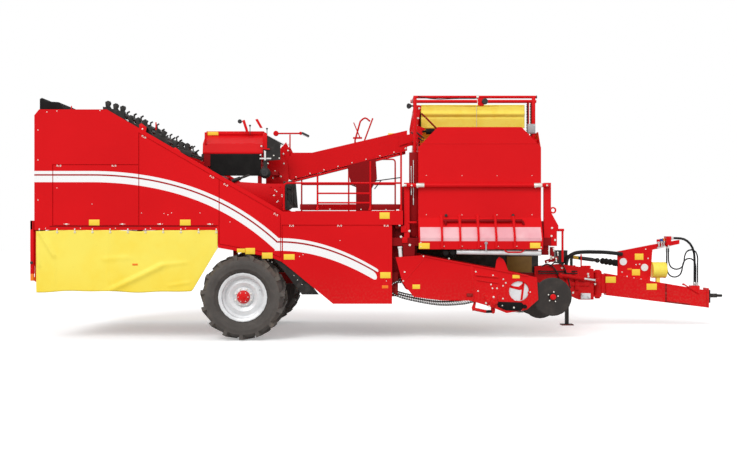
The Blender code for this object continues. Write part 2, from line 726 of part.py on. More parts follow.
def make_rear_lamps():
    x = BODY_REAR_X + 0.010 - GAP
    reach = SIDE_Y - 0.20
    pieces = [box(x - 0.045, x - 0.005, -reach, reach, SILL_Z + 0.02, SILL_Z + 0.10)]
    for side in (-1, 1):
        y0, y1 = sorted((side * (SIDE_Y - 0.30), side * (SIDE_Y - 0.06)))
        pieces.append(box(x - 0.030, x, y0, y1, 1.10, SILL_Z + 0.14))
        pieces.append(box(REAR_X, x - 0.020, y0 + 0.02, y1 - 0.02, 1.14, 1.26))
        pieces.append(box(x - 0.050, x - 0.010, y0 + 0.08, y1 - 0.08, 0.86, 1.12))
    finished("rear_lamp_bar", joined(*pieces), "red")


# Platform, rails, ladder
DECK_Z = 1.720


BOARD_Y = (-0.930, 0.700)                # inner faces of the picking table's boards
TABLE_BELT = ((-0.100, 1.815), (-1.560, 1.815))
TABLE_BELT_R = 0.050
CHUTE_BEAM_X = -0.620


def make_platform():
    rear = LOWER_SEAM_X + 0.15
    pieces = [box(rear, TOE_END_X, -INNER_Y + GAP, BOARD_Y[0] - 0.01, DECK_Z, DECK_Z + 0.03),
              box(rear, TOE_END_X, BOARD_Y[1] + 0.01, INNER_Y - GAP, DECK_Z, DECK_Z + 0.03),
              box(rear, TOE_END_X, BOARD_Y[0] - 0.02, BOARD_Y[0], DECK_Z, 1.930),
              box(rear, TOE_END_X, BOARD_Y[1], BOARD_Y[1] + 0.02, DECK_Z, 1.930),
              box(-1.20, -1.12, 0.05 - INNER_Y, INNER_Y - 0.05, DECK_Z - 0.06, DECK_Z + 0.02),
              box(-0.10, -0.02, 0.05 - INNER_Y, INNER_Y - 0.05, DECK_Z - 0.06, DECK_Z + 0.02),
              box(CHUTE_BEAM_X, CHUTE_BEAM_X + 0.08, BOARD_Y[0] - 0.01, BOARD_Y[1] + 0.01,
                  1.880, 1.940)]
    for x, z in TABLE_BELT:
        pieces.append(rod((x, BOARD_Y[0] - 0.01, z), (x, BOARD_Y[1] + 0.01, z),
                          drum_radius(TABLE_BELT_R - 0.008), DRUM_SIDES))
    finished("platform", joined(*pieces), "dark_red")
    belt = flat_piece([loop_round(TABLE_BELT, TABLE_BELT_R),
                       loop_round(TABLE_BELT, TABLE_BELT_R - 0.008)],
                      BOARD_Y[0] + 0.01, BOARD_Y[1] - 0.01)
    finished("picking_belt", belt, "black_rubber", smooth=True)


def make_ladder():
    """Ladder to the platform on the left side."""
    y0 = SIDE_Y + GAP
    pieces = [box(x, x + 0.04, y0, y0 + 0.045, 0.520, DECK_Z + 0.10) for x in (-1.36, -0.90)]
    for step in range(5):
        z = 0.560 + step * 0.270
        pieces.append(box(-1.34, -0.88, y0 + 0.005, y0 + 0.120, z, z + 0.025))
    finished("ladder", joined(*pieces), "dark_red")


# Runs of the guard rails: points, radius
RAIL_R = 0.014
POST_Y = SIDE_Y - 0.016
NEAR_RAILS = (
    ((-1.26, -POST_Y, TOE_TOP_Z), (-1.26, -POST_Y, 2.470)),
    ((-0.475, -POST_Y, TOE_TOP_Z), (-0.475, -POST_Y, 2.660)),
    ((-0.018, -POST_Y, TOE_TOP_Z), (-0.018, -POST_Y, 2.860)),
    ((-1.76, -POST_Y, TOE_TOP_Z), (-1.76, -POST_Y, 2.333), (-0.018, -POST_Y, 2.333)),
    ((-1.26, -POST_Y, 2.180), (-0.475, -POST_Y, 2.180)),
    ((-1.26, -POST_Y, 2.040), (-0.475, -POST_Y, 2.040)),
)
FAR_RAILS = (
    ((-1.70, POST_Y, TOE_TOP_Z), (-1.70, POST_Y, 2.90), (-0.03, POST_Y, 2.90),
     (-0.03, POST_Y, TOE_TOP_Z)),
    ((-0.86, POST_Y, TOE_TOP_Z), (-0.86, POST_Y, 2.90)),
    ((-1.70, POST_Y, 2.45), (-0.03, POST_Y, 2.45)),
)


def make_rails():
    for name, runs, foot in (("rails_right", NEAR_RAILS, -1), ("rails_left", FAR_RAILS, 1)):
        pieces = []
        for run in runs:
            run = [(x, y, z + GAP if z == TOE_TOP_Z else z) for x, y, z in run]
            pieces.append(pipe(run, RAIL_R, bend=0.06 if len(run) > 2 else 0.0, resolution=1))
        if foot > 0:
            pieces.append(box(-1.72, -0.01, POST_Y - 0.008, POST_Y + 0.008, 1.99, 2.10))
        finished(name, joined(*pieces), "red", smooth=True)


# Transfer hood over the cross conveyor and the filling elevator
HOOD_X = (-3.060, -2.130)
HEAD_PIN = 0.008             # how far the head's pin stands out of its plates
ELEVATOR_Y = (-0.600, 0.150)
ELEVATOR_SHEET = 0.020
ELEVATOR_SIDE = [(-2.100, 2.690), (-1.740, 2.423), (-0.023, 2.855), (0.105, 2.888),
                 (0.105, 3.206), (-1.393, 2.855), (-1.724, 2.855), (-1.803, 3.020)]
HEAD_PIVOT = (0.236, 3.116)


def elevator_foot(x):
    """Height of the elevator's lower rear edge."""
    (x0, z0), (x1, z1) = ELEVATOR_SIDE[0], ELEVATOR_SIDE[1]
    return z0 + (z1 - z0) * (x - x0) / (x1 - x0)


def make_transfer():
    t = 0.012
    section = [(-0.95, 2.815), (-0.92, 2.970), (-0.62, 3.145), (0.45, 3.145), (0.62, 2.970),
               (0.62, 2.815), (0.62 - t, 2.815), (0.62 - t, 2.966), (0.445, 3.133),
               (-0.615, 3.133), (-0.91, 2.962), (-0.95 + t, 2.815)]
    finished("transfer_hood", flat_piece([section], HOOD_X[0], HOOD_X[1], "x"), "red")
    curtain = box(HOOD_X[0] + 0.12, HOOD_X[1] - 0.03, -0.958 - GAP, -0.950 - GAP, 2.470, 2.805)
    finished("hood_curtain", curtain, "black_rubber")
    frame = [box(HOOD_X[0] + 0.02, HOOD_X[0] + 0.08, -0.93, 0.60, 2.62, 2.68),
             box(HOOD_X[1] - 0.08, HOOD_X[1] - 0.02, -0.93, 0.60, 2.62, 2.68),
             box(-1.980, -1.900, -0.94, 0.61, 2.48, elevator_foot(-1.900) - GAP)]
    for y in (-0.95, 0.58):
        frame.append(box(HOOD_X[0] + 0.02, HOOD_X[1] - 0.02, y, y + 0.04, 2.62, 2.815 - GAP))
        frame.append(box(HOOD_X[1] - 0.10, -1.900, y, y + 0.04, 2.480, 2.540))
        for px in (HOOD_X[0] + 0.02, HOOD_X[1] - 0.08):
            frame.append(box(px, px + 0.06, y, y + 0.04, roof_z(px) - 0.10, 2.64))
    for px in (HOOD_X[0] + 0.02, HOOD_X[1] - 0.08):
        z = roof_z(px) - 0.14
        frame.append(box(px, px + 0.06, -INNER_Y + GAP, INNER_Y - GAP, z, z + 0.06))
    finished("transfer_frame", joined(*frame), "dark_red")
    # Belt guard and motor beside the hood
    face = -0.950 - GAP
    guard = [(-2.120, 3.090), (-2.056, 3.088), (-1.810, 2.955), (-1.860, 2.930),
             (-1.860, 2.717), (-2.060, 2.700), (-2.060, 2.470), (-2.120, 2.470)]
    motor = turned([(0.0, 0.0), (0.085, 0.0), (0.085, 0.070), (0.050, 0.090), (0.0, 0.090)],
                   (-2.090, face - 0.020, 2.510), (0, -1, 0), 16)
    finished("hood_drive", joined(flat_piece([guard], face - 0.025, face), motor),
             "black_steel", smooth=True)


ELEVATOR_BELT = ((0.020, 3.030), (-1.720, 2.600))
ELEVATOR_BELT_R = 0.055


def elevator_under(x):
    """Height of the elevator's lower edge between its bend and its head."""
    (x0, z0), (x1, z1) = ELEVATOR_SIDE[1], ELEVATOR_SIDE[2]
    return z0 + (z1 - z0) * (x - x0) / (x1 - x0)


def make_chute():
    """Waste chute under the elevator, which also props it."""
    foot = 1.940 + GAP
    t = 0.012
    y0, y1 = -0.660, -0.100
    neck = [(-0.700, foot), (-0.450, foot), (-0.450, 2.310), (-0.370, 2.450)]
    mouth = [(-0.390, elevator_under(-0.390) - GAP), (-0.840, elevator_under(-0.840) - GAP)]
    outer = neck + mouth + [(-0.780, 2.360), (-0.700, 2.330)]
    inner = [(-0.700 + t, foot - 0.1), (-0.450 - t, foot - 0.1), (-0.450 - t, 2.314),
             (-0.370 - t, 2.452), (-0.390 - t, 2.950), (-0.840 + t, 2.950),
             (-0.780 + t, 2.366), (-0.700 + t, 2.338)]
    chute = cut(flat_piece([outer], y0, y1), flat_piece([inner], y0 + t, y1 - t))
    finished("waste_chute", chute, "dark_red")


def make_elevator():
    walls = [flat_piece([ELEVATOR_SIDE], ELEVATOR_Y[0], ELEVATOR_Y[0] + ELEVATOR_SHEET),
             flat_piece([ELEVATOR_SIDE], ELEVATOR_Y[1] - ELEVATOR_SHEET, ELEVATOR_Y[1])]
    for x, z in ((-1.90, 2.70), (-1.30, 2.58), (-0.45, 2.79)):
        walls.append(rod((x, ELEVATOR_Y[0] + 0.005, z), (x, ELEVATOR_Y[1] - 0.005, z), 0.025, 10))
    for x, z in ELEVATOR_BELT:
        walls.append(rod((x, ELEVATOR_Y[0] + 0.005, z), (x, ELEVATOR_Y[1] - 0.005, z),
                         drum_radius(ELEVATOR_BELT_R - 0.008), DRUM_SIDES))
    belt = flat_piece([loop_round(ELEVATOR_BELT, ELEVATOR_BELT_R),
                       loop_round(ELEVATOR_BELT, ELEVATOR_BELT_R - 0.008)],
                      ELEVATOR_Y[0] + 0.03, ELEVATOR_Y[1] - 0.03)
    finished("elevator_belt", belt, "black_rubber", smooth=True)
    # Hoop and bar above the far side plate
    far = ELEVATOR_Y[1] - 0.010
    walls.append(pipe([(-0.727, far, 2.950), (-0.727, far, 3.119), (-0.640, far, 3.430),
                       (-0.560, far, 3.500), (-0.480, far, 3.430)], 0.014, 0.05, 1, 2))
    walls.append(pipe([(-0.620, far, 2.980), (-0.434, far, 3.481)], 0.014, resolution=1))
    walls.append(pipe([(-0.750, far, 3.410), (-0.640, far, 3.150)], 0.010, resolution=1))
    walls.append(box(-0.760, -0.610, far - 0.008, far + 0.008, 3.140, 3.170))
    # Ears at the head's pivot
    px, pz = HEAD_PIVOT
    ear = [(-0.02, 2.960), (px + 0.03, pz - 0.06), (px + 0.05, pz), (px + 0.02, pz + 0.04),
           (-0.02, 3.120)]
    for side, y in ((-1, ELEVATOR_Y[0]), (1, ELEVATOR_Y[1])):
        inner, outer = y + side * (HEAD_PIN + GAP), y + side * (HEAD_PIN + 0.016)
        walls.append(flat_piece([ear], min(inner, outer), max(inner, outer)))
        walls.append(rod((0.04, y - side * 0.01, 3.03), (0.04, y + side * (HEAD_PIN + 0.01), 3.03),
                         0.035, 10))
    finished("filling_elevator", joined(*walls), "red")
    # Head that turns over the bunker
    carrier = pivot("elevator_head_pivot", (HEAD_PIVOT[0], 0, HEAD_PIVOT[1]))
    outline = [(0.180, 3.030), (0.292, 3.018), (0.385, 3.240), (0.266, 3.280), (0.331, 3.579),
               (0.227, 3.620), (0.170, 3.300)]
    plates = [flat_piece([outline], ELEVATOR_Y[0], ELEVATOR_Y[0] + 0.015),
              flat_piece([outline], ELEVATOR_Y[1] - 0.015, ELEVATOR_Y[1]),
              box(0.20, 0.30, ELEVATOR_Y[0] + 0.01, ELEVATOR_Y[1] - 0.01, 3.10, 3.12),
              box(0.215, 0.235, ELEVATOR_Y[0] + 0.01, ELEVATOR_Y[1] - 0.01, 3.30, 3.58)]
    plates.append(rod((HEAD_PIVOT[0], ELEVATOR_Y[0] - HEAD_PIN, HEAD_PIVOT[1]),
                      (HEAD_PIVOT[0], ELEVATOR_Y[1] + HEAD_PIN, HEAD_PIVOT[1]), 0.022, 12))
    finished("elevator_head", joined(*plates), "red", carrier)


# Bunker
RIB = 0.020                  # depth of the ribs over the skirt
RIB_X = (0.582, 0.850, 1.119, 1.380, 1.651)
TUBE_Z = 2.300
TUBE_Y = -SIDE_Y
TOP_FRAME_Y = 0.25 - BUNKER_Y            # right tube of the top frame


def make_bunker():
    y0, y1 = -BUNKER_Y, BUNKER_Y
    t = BUNKER_SHEET
    rear, front = BUNKER_REAR_X, BUNKER_FRONT_X
    lip = RIB - HALF_WIDTH       # the skirt's outer edge
    face = [(y0, BUNKER_TOP_Z), (y0, SKIRT_TOP_Z), (lip, SKIRT_EDGE_Z),
            (lip + 0.01, BUNKER_FOOT_Z), (lip + 0.01 + t, BUNKER_FOOT_Z),
            (lip + 1.3 * t, SKIRT_EDGE_Z), (y0 + t, SKIRT_TOP_Z + 0.006),
            (y0 + t, BUNKER_TOP_Z)]
    rib = [(y0 + t / 2, SKIRT_TOP_Z + 0.04), (y0 - RIB, SKIRT_TOP_Z + 0.04),
           (-HALF_WIDTH, SKIRT_EDGE_Z + 0.01), (-HALF_WIDTH, BUNKER_FOOT_Z + 0.01),
           (lip + 0.015, BUNKER_FOOT_Z + 0.01), (lip + 0.015, SKIRT_EDGE_Z - 0.005),
           (y0 + t / 2, SKIRT_TOP_Z - 0.01)]
    near = flat_piece([face], rear, front, "x")
    corner = 0.300
    for x, s in ((rear, 1), (front, -1)):
        chamfer = [(x - s * 0.01, BUNKER_TOP_Z - 0.31), (x - s * 0.01, BUNKER_TOP_Z + 0.01),
                   (x + s * corner, BUNKER_TOP_Z + 0.01)]
        near = cut(near, flat_piece([chamfer], y0 - 0.01, y0 + 0.03))
    ribs = [flat_piece([rib], x - 0.016, x + 0.016, "x") for x in RIB_X]
    finished("bunker_wall_right", joined(near, gathered(ribs)), "red")
    # Left wall with an ear at each end of the unloading elevator's pivot
    py, pz = UNLOADER_PIVOT
    left = box(rear, front, y1 - t, y1, BUNKER_FOOT_Z, 2.870)
    ear = [(y1 - t, 2.60), (y1, 2.60), (py + 0.06, pz - 0.03), (py + 0.04, pz + 0.05),
           (py - 0.03, pz + 0.05), (y1 - t, pz - 0.04)]
    ears = [flat_piece([ear], x - 0.016, x, "x")
            for x in (UNLOADER_X[0] - UNLOADER_PIN - GAP, UNLOADER_X[1] + UNLOADER_PIN + GAP + 0.016)]
    inner = BUNKER_Y - t - GAP
    far = BUNKER_Y - t / 2
    notch = (ELEVATOR_Y[0] - 0.06, ELEVATOR_Y[1] + 0.06)
    foot = RAIL_Z1 + GAP
    end = [(-inner, foot), (far, foot), (far, 2.80),
           (0.60, BUNKER_TOP_Z - 0.05), (notch[1], BUNKER_TOP_Z - 0.05), (notch[1], 2.78),
           (notch[0], 2.78), (notch[0], BUNKER_TOP_Z - 0.05), (-inner, BUNKER_TOP_Z - 0.32)]
    end_front = [(-inner, foot), (far, foot), (far, 2.80),
                 (0.60, BUNKER_TOP_Z - 0.05), (TOP_FRAME_Y, BUNKER_TOP_Z - 0.05),
                 (-inner, BUNKER_TOP_Z - 0.32)]
    finished("bunker_shell", joined(left, flat_piece([end], rear, rear + t, "x"),
                                    flat_piece([end_front], front - t, front, "x"), *ears),
             "red")
    # Tube along the right side on its two posts
    post_y = (-RAIL_Y - RAIL_W, -RAIL_Y - 0.010)
    foot = RAIL_Z1 + GAP
    front_post = [(2.115, foot), (2.215, foot), (2.330, 1.640), (2.330, 1.700), (2.220, 1.900),
                  (2.220, TUBE_Z + 0.04), (2.115, TUBE_Z + 0.04)]
    middle = sum(post_y) / 2
    side_frame = [
        flat_piece([front_post], *post_y),
        box(0.030, 0.110, *post_y, foot, TUBE_Z + 0.04),
        pipe([(0.070, middle, TUBE_Z), (0.070, TUBE_Y, TUBE_Z), (2.167, TUBE_Y, TUBE_Z),
              (2.167, middle, TUBE_Z)], 0.030, 0.05, 2, 3),
        flat_piece([circle(2.255, 1.930, 0.050, 16), circle(2.255, 1.930, 0.028, 16)],
                   middle - 0.009, middle + 0.009)]
    finished("bunker_side_frame", joined(*side_frame), "red", smooth=True)


FLOOR_Z = 1.5205


def make_bunker_floor():
    rollers = [(BUNKER_Y - 0.15, FLOOR_Z + 0.07), (0.09 - BUNKER_Y, FLOOR_Z + 0.07)]
    belt = flat_piece([loop_round(rollers, 0.070), loop_round(rollers, 0.060)],
                      BUNKER_REAR_X + 0.03, BUNKER_FRONT_X - 0.03, "x")
    finished("bunker_floor", belt, "guard_yellow")


def make_top_frame():
    z0, z1 = 3.650, 3.720
    x0, x1 = 0.200, 2.235
    y0 = TOP_FRAME_Y
    pieces = [pipe([(x0, y0, z0), (x1, y0, z0)], 0.022),
              pipe([(x0, -0.15, z1), (x1, -0.15, z1)], 0.018)]
    for x in (x0, x1):
        pieces.append(pipe([(x, y0, 2.30), (x, y0, z0), (x, -0.15, z1)], 0.028, 0.05))
    for x, inner in ((x0, BUNKER_REAR_X - GAP), (x1, BUNKER_FRONT_X + GAP)):
        low, high = sorted((x + 0.03 * (1 if x > inner else -1), inner))
        pieces.append(box(low, high, 0.01 - RAIL_Y, y0 + 0.03, 2.28, 2.36))
    finished("bunker_top_frame", joined(*pieces), "red", smooth=True)


UNLOADER_PIVOT = (BUNKER_Y + 0.05, 2.980)
UNLOADER_TIP = (0.420, 3.640)
UNLOADER_X = (BUNKER_REAR_X + 0.09, BUNKER_FRONT_X - 0.04)
UNLOADER_PIN = 0.006


def make_unloader():
    carrier = pivot("unloader_pivot", (0, *UNLOADER_PIVOT))
    rollers = [UNLOADER_PIVOT, UNLOADER_TIP]
    x0, x1 = UNLOADER_X
    belt = flat_piece([loop_round(rollers, 0.075), loop_round(rollers, 0.060)],
                      x0 + 0.035, x1 - 0.035, "x")
    finished("unloader_belt", belt, "guard_yellow", carrier, smooth=True)
    side = loop_round(rollers, 0.095)
    pieces = [flat_piece([side], x0, x0 + 0.025, "x"),
              flat_piece([side], x1 - 0.025, x1, "x")]
    for y, z in rollers:
        pieces.append(rod((x0 + 0.01, y, z), (x1 - 0.01, y, z), drum_radius(0.060), DRUM_SIDES))
    y, z = UNLOADER_PIVOT
    pieces.append(rod((x0 - UNLOADER_PIN, y, z), (x1 + UNLOADER_PIN, y, z), 0.025, 10))
    finished("unloader_frame", joined(*pieces), "red", carrier)


# Intake

INTAKE_RIGHT = [
    (-0.100, 1.230), (0.000, 0.860), (0.170, 0.640), (0.600, 0.587), (1.000, 0.587),
    (1.300, 0.500), (1.550, 0.400), (1.850, 0.450), (2.020, 0.600), (2.000, 0.930),
    (1.870, 0.960), (0.290, 1.260)]
WINDOW = (1.734, 0.7255, 0.150)
INTAKE_WEB = ((0.09, 0.80), (0.55, 0.610), (1.45, 0.600))
INTAKE_WEB_R = 0.085


def make_intake():
    carrier = pivot("intake_pivot", (INTAKE_PIVOT[0], 0, INTAKE_PIVOT[1]))
    t = INTAKE_SHEET
    right = flat_piece([INTAKE_RIGHT, circle(*WINDOW)], -SIDE_Y, -SIDE_Y + t)
    left = flat_piece([INTAKE_RIGHT], INTAKE_LEFT_Y, INTAKE_LEFT_Y + t)
    bracket = [(1.370, 1.000), (1.400, 1.190), (1.440, 1.235), (1.500, 1.200), (1.530, 1.150),
               (1.600, 0.960)]
    pieces = [right, left, flat_piece([bracket], t / 2 - SIDE_Y, t + 0.010 - SIDE_Y)]
    pieces.append(rod((INTAKE_PIVOT[0], -SIDE_Y + 0.005, INTAKE_PIVOT[1]),
                      (INTAKE_PIVOT[0], SPINE_Y0 - GAP, INTAKE_PIVOT[1]), INTAKE_PIN,
                      PIN_SIDES))
    for x, z, r in ((0.75, 1.06, 0.030), (1.55, 0.90, 0.030), (*ARM_ROOT, 0.035),
                    (1.62, 0.455, 0.030), (*INTAKE_WEB[0], 0.020), (*INTAKE_WEB[2], 0.020)):
        pieces.append(rod((x, -SIDE_Y + 0.005, z), (x, INTAKE_LEFT_Y + 0.005, z), r, 10))
    for x, z in (INTAKE_WEB[0], INTAKE_WEB[2]):
        pieces.append(rod((x, 0.07 - SIDE_Y, z), (x, INTAKE_LEFT_Y - 0.06, z),
                          drum_radius(INTAKE_WEB_R - WEB_BELT), DRUM_SIDES))
    # Arms that carry the disc coulters
    for _, x, y, z, _ in COULTERS:
        arm = [(ARM_ROOT[0] - 0.03, ARM_ROOT[1] - 0.045), (x + 0.02, z - 0.045),
               (x + 0.045, z), (x + 0.02, z + 0.045), (ARM_ROOT[0] + 0.03, ARM_ROOT[1] + 0.045),
               (ARM_ROOT[0] - 0.03, ARM_ROOT[1] + 0.045)]
        pieces.append(flat_piece([arm], y + COULTER_BOSS + GAP, y + COULTER_BOSS + 0.022))
    finished("intake_trough", joined(*pieces), "red", carrier)
    web = rod_web(INTAKE_WEB, INTAKE_WEB_R, 0.08 - SIDE_Y, INTAKE_LEFT_Y - 0.07, 0.20)
    finished("intake_web", web, "black_steel", carrier, smooth=True)
    back, notch, tip = SHARE_TIP_X - 0.40, SHARE_TIP_X - 0.14, SHARE_TIP_X
    y0, y1 = 0.10 - SIDE_Y, INTAKE_LEFT_Y - 0.10
    quarter = (y1 - y0) / 4
    share = [(back, y0), (notch, y0), (tip, y0 + quarter), (notch, y0 + 2 * quarter),
             (tip, y1 - quarter), (notch, y1), (back, y1)]
    blade = flat_piece([share], 0.4105, 0.4245, "z")
    turned_about(blade, 8, (1.62, 0, 0.417), "Y")
    finished("share", blade, "steel", carrier)


# Disc coulters: name, x, y, z, radius
COULTERS = (("right", 2.243, 0.060 - SIDE_Y, 0.639, 0.288),
            ("middle", 2.180, 0.800 - SIDE_Y, 0.525, 0.274),
            ("left", 2.180, INTAKE_LEFT_Y - 0.050, 0.525, 0.274))
COULTER_SHEET = 0.010
COULTER_BOSS = 0.017
ARM_ROOT = (1.900, 0.700)


def make_coulters():
    for name, x, y, z, radius in COULTERS:
        carrier = pivot(f"coulter_{name}_pivot", (x, y, z))
        edge = COULTER_SHEET / 2
        profile = [(0.0, 0.040), (0.042, 0.040), (0.060, edge), (radius - 0.02, edge),
                   (radius, 0.0), (radius - 0.02, -edge), (0.040, -edge),
                   (0.040, -COULTER_BOSS), (0.0, -COULTER_BOSS)]
        disc = turned(profile, (x, y, z), (0, -1, 0), 24)
        finished(f"coulter_{name}", disc, "black_steel", carrier, smooth=True)


# Front frame, jack and drawbar
DECK_TOP = 0.965             # top plate of the front frame

def make_front_frame():
    side = [(2.30, 0.62), (2.30, 1.02), (2.75, 1.06), (3.30, 0.98), (3.30, 0.46),
            (3.05, 0.46), (2.75, 0.60)]
    plates = [flat_piece([side], SPINE_Y0 - 0.03, SPINE_Y0 - GAP),
              flat_piece([side], SPINE_Y1 + GAP, SPINE_Y1 + 0.03),
              box(2.45, 3.28, SPINE_Y0 - 0.005, SPINE_Y1 + 0.005, DECK_TOP - 0.030, DECK_TOP),
              box(3.02, 3.28, SPINE_Y0 - 0.005, SPINE_Y1 + 0.005, 0.50, 0.53),
              box(2.43, 2.46, SPINE_Y0 - 0.005, SPINE_Y1 + 0.005, 0.66, 0.95),
              box(JACK_X - 0.10, JACK_X + 0.10, SPINE_Y1 + 0.01, JACK_Y - JACK_TUBE + 0.005,
                  0.70, 0.90),
              flat_piece([square(JACK_TUBE), square(JACK_LEG + 0.0008)], 0.420, 1.020, "z")]
    post = rod((PIVOT_X, BEAM_Y, 0.470), (PIVOT_X, BEAM_Y, 0.960), 0.045, 16)
    ears = [box(3.25, PIVOT_X + 0.055, BEAM_Y - 0.07, BEAM_Y + 0.07, 0.50, 0.53),
            box(3.25, PIVOT_X + 0.055, BEAM_Y - 0.07, BEAM_Y + 0.07, 0.915, 0.945)]
    finished("front_frame", joined(*plates, post, *ears), "red")


def square(half):
    """Section of the jack's leg or sleeve."""
    return rectangle(JACK_X - half, JACK_X + half, JACK_Y - half, JACK_Y + half)


def make_jack():
    carrier = pivot("jack_pivot", (JACK_X, JACK_Y, 0))
    leg = flat_piece([square(JACK_LEG)], 0.010, 1.000 - JACK_TRAVEL, "z")
    foot = box(JACK_X - 0.103, JACK_X + 0.103, JACK_Y - 0.09, JACK_Y + 0.09, 0.0, 0.020)
    finished("jack_leg", joined(leg, foot), "dark_red", carrier)


BEAM_REAR = (3.530, 0.530, 0.900)        # x and the heights of the lower and upper edge
BEAM_FRONT = (5.250, 0.320, 0.610)
BUNDLE_R = 0.0325
COUPLING_X = (4.560, 4.640)              # coupling block on the stand's arm
COUPLING_Z = (1.380, 1.530)
HOSE_BLOCK_X = (4.985, 5.125)            # block that the front hoses leave the beam by
HOSE_BLOCK_Z = 0.690
# Hoses in front of the stand: name, radius, y from the beam, then x and z of the route
FRONT_HOSES = (
    ("bundle", 0.020, 0.0,
     ((5.060, HOSE_BLOCK_Z + GAP), (5.060, 0.850), (5.060, 1.100), (5.045, 1.270),
      (4.985, 1.400), (4.880, 1.480), (4.760, 1.497), (COUPLING_X[1] + GAP, 1.497))),
    ("upper", 0.012, -0.050,
     ((5.095, HOSE_BLOCK_Z + GAP), (5.095, 0.850), (5.095, 1.050), (5.093, 1.180),
      (5.060, 1.268), (4.985, 1.300), (4.910, 1.268), (4.875, 1.190), (4.862, 1.090),
      (4.825, 1.005), (4.735, 0.970), (4.645, 1.005), (4.606, 1.090), (4.600, 1.220),
      (4.600, COUPLING_Z[0] - GAP))),
    ("lower", 0.012, 0.050,
     ((5.095, HOSE_BLOCK_Z + GAP), (5.095, 0.850), (5.093, 1.030), (5.060, 1.118),
      (4.985, 1.150), (4.910, 1.118), (4.873, 1.035), (4.860, 0.950), (4.822, 0.868),
      (4.733, 0.832), (4.645, 0.868), (4.606, 0.960), (4.600, 1.120), (4.600, 1.250),
      (4.600, COUPLING_Z[0] - GAP))),
)


def beam_top(x):
    (x0, _, z0), (x1, _, z1) = BEAM_REAR, BEAM_FRONT
    return z0 + (z1 - z0) * (x - x0) / (x1 - x0)


def make_drawbar():
    carrier = pivot("drawbar_pivot", (PIVOT_X, BEAM_Y, 0.7))
    beam_side = [BEAM_REAR[:2], BEAM_FRONT[:2], BEAM_FRONT[::2], BEAM_REAR[::2]]
    beam = flat_piece([beam_side], BEAM_Y - 0.09, BEAM_Y + 0.09)
    sleeve = turned([(0.075, 0.915 - GAP), (0.075, 0.530 + GAP), (0.0475, 0.530 + GAP),
                     (0.0475, 0.915 - GAP)],
                    (PIVOT_X, BEAM_Y, 0), (0, 0, 1), 20)
    web = flat_piece([[(3.46, 0.560), (3.60, 0.560), (3.60, 0.890), (3.46, 0.890)]],
                     BEAM_Y - 0.05, BEAM_Y + 0.05)
    plate = box(5.240, 5.270, BEAM_Y - 0.11, BEAM_Y + 0.11, 0.320, 0.650)
    x0, x1 = HOSE_BLOCK_X
    block = flat_piece([[(x0, beam_top(x0) - 0.02), (x1, beam_top(x1) - 0.02),
                         (x1, HOSE_BLOCK_Z), (x0, HOSE_BLOCK_Z)]],
                       BEAM_Y - 0.075, BEAM_Y + 0.075)
    finished("drawbar", joined(beam, web, sleeve, plate, block), "red", carrier)
    hitch_plate = box(5.270 + GAP, 5.300, BEAM_Y - 0.09, BEAM_Y + 0.09, 0.400, 0.620)
    shank = rod((5.290, BEAM_Y, 0.519), (5.440, BEAM_Y, 0.519), 0.035, 12)
    eye = turned([(0.062, 0.020), (0.062, -0.020), (0.026, -0.020), (0.026, 0.020)],
                 (FRONT_X - 0.062, BEAM_Y, 0.519), (0, 0, 1), 24)
    finished("hitch_eye", joined(hitch_plate, shank, eye), "black_steel", carrier)
    stand = [(3.740, beam_top(3.740) + GAP), (3.740, 1.272), (4.310, 1.384), (4.800, 1.470),
             (4.800, 1.400), (4.340, 1.300), (4.300, beam_top(4.300) + GAP)]
    coupling = box(*COUPLING_X, BEAM_Y - 0.075, BEAM_Y + 0.075, *COUPLING_Z)
    finished("hose_stand", joined(flat_piece([stand], BEAM_Y - 0.006, BEAM_Y + 0.006), coupling),
             "red", carrier)
    # Bellows of the drive shaft, behind the stand
    joint, rear = Vector(SHAFT_JOINT), Vector((3.720, BEAM_Y, 1.076))
    run = rear - joint
    ribs = [(0.0, 0.052), (0.034, 0.052)]
    pitch = (run.length - 0.052) / 8
    for step in range(1, 8):
        ribs.append((0.060 if step % 2 else 0.044, 0.052 + pitch * step))
    ribs += [(0.050, run.length), (0.0, run.length)]
    bellows = turned(ribs, joint, run.normalized(), 16)
    seat = box(3.700, 3.740 - GAP, BEAM_Y - 0.040, BEAM_Y + 0.040, 1.020, 1.130)
    finished("pto_bellows", joined(bellows, seat), "black_rubber", carrier, smooth=True)
    # Parked guard, open to the front
    x0, z = 4.325, 0.955
    guard = turned([(0.0, 0.0), (0.135, 0.0), (0.135, 0.235), (0.127, 0.235), (0.127, 0.010),
                    (0.0, 0.010)], (x0, BEAM_Y, z), (1, 0, 0), 24)
    foot = flat_piece([[(4.400, beam_top(4.400) + GAP), (4.460, beam_top(4.460) + GAP),
                        (4.460, z - 0.130), (4.400, z - 0.130)]], BEAM_Y - 0.04, BEAM_Y + 0.04)
    finished("pto_guard", joined(guard, foot), "guard_yellow", carrier, smooth=True)
    # Hoses that hang in front of the stand
    for name, radius, offset, route in FRONT_HOSES:
        hose = pipe(flowing([(x, BEAM_Y + offset, z) for x, z in route], 6 * radius), radius)
        finished(f"hose_front_{name}", hose, "black_rubber", carrier, smooth=True)


# Universal joint of the drive shaft, above the drawbar's pivot
SHAFT_JOINT = (PIVOT_X, BEAM_Y, 1.1185)


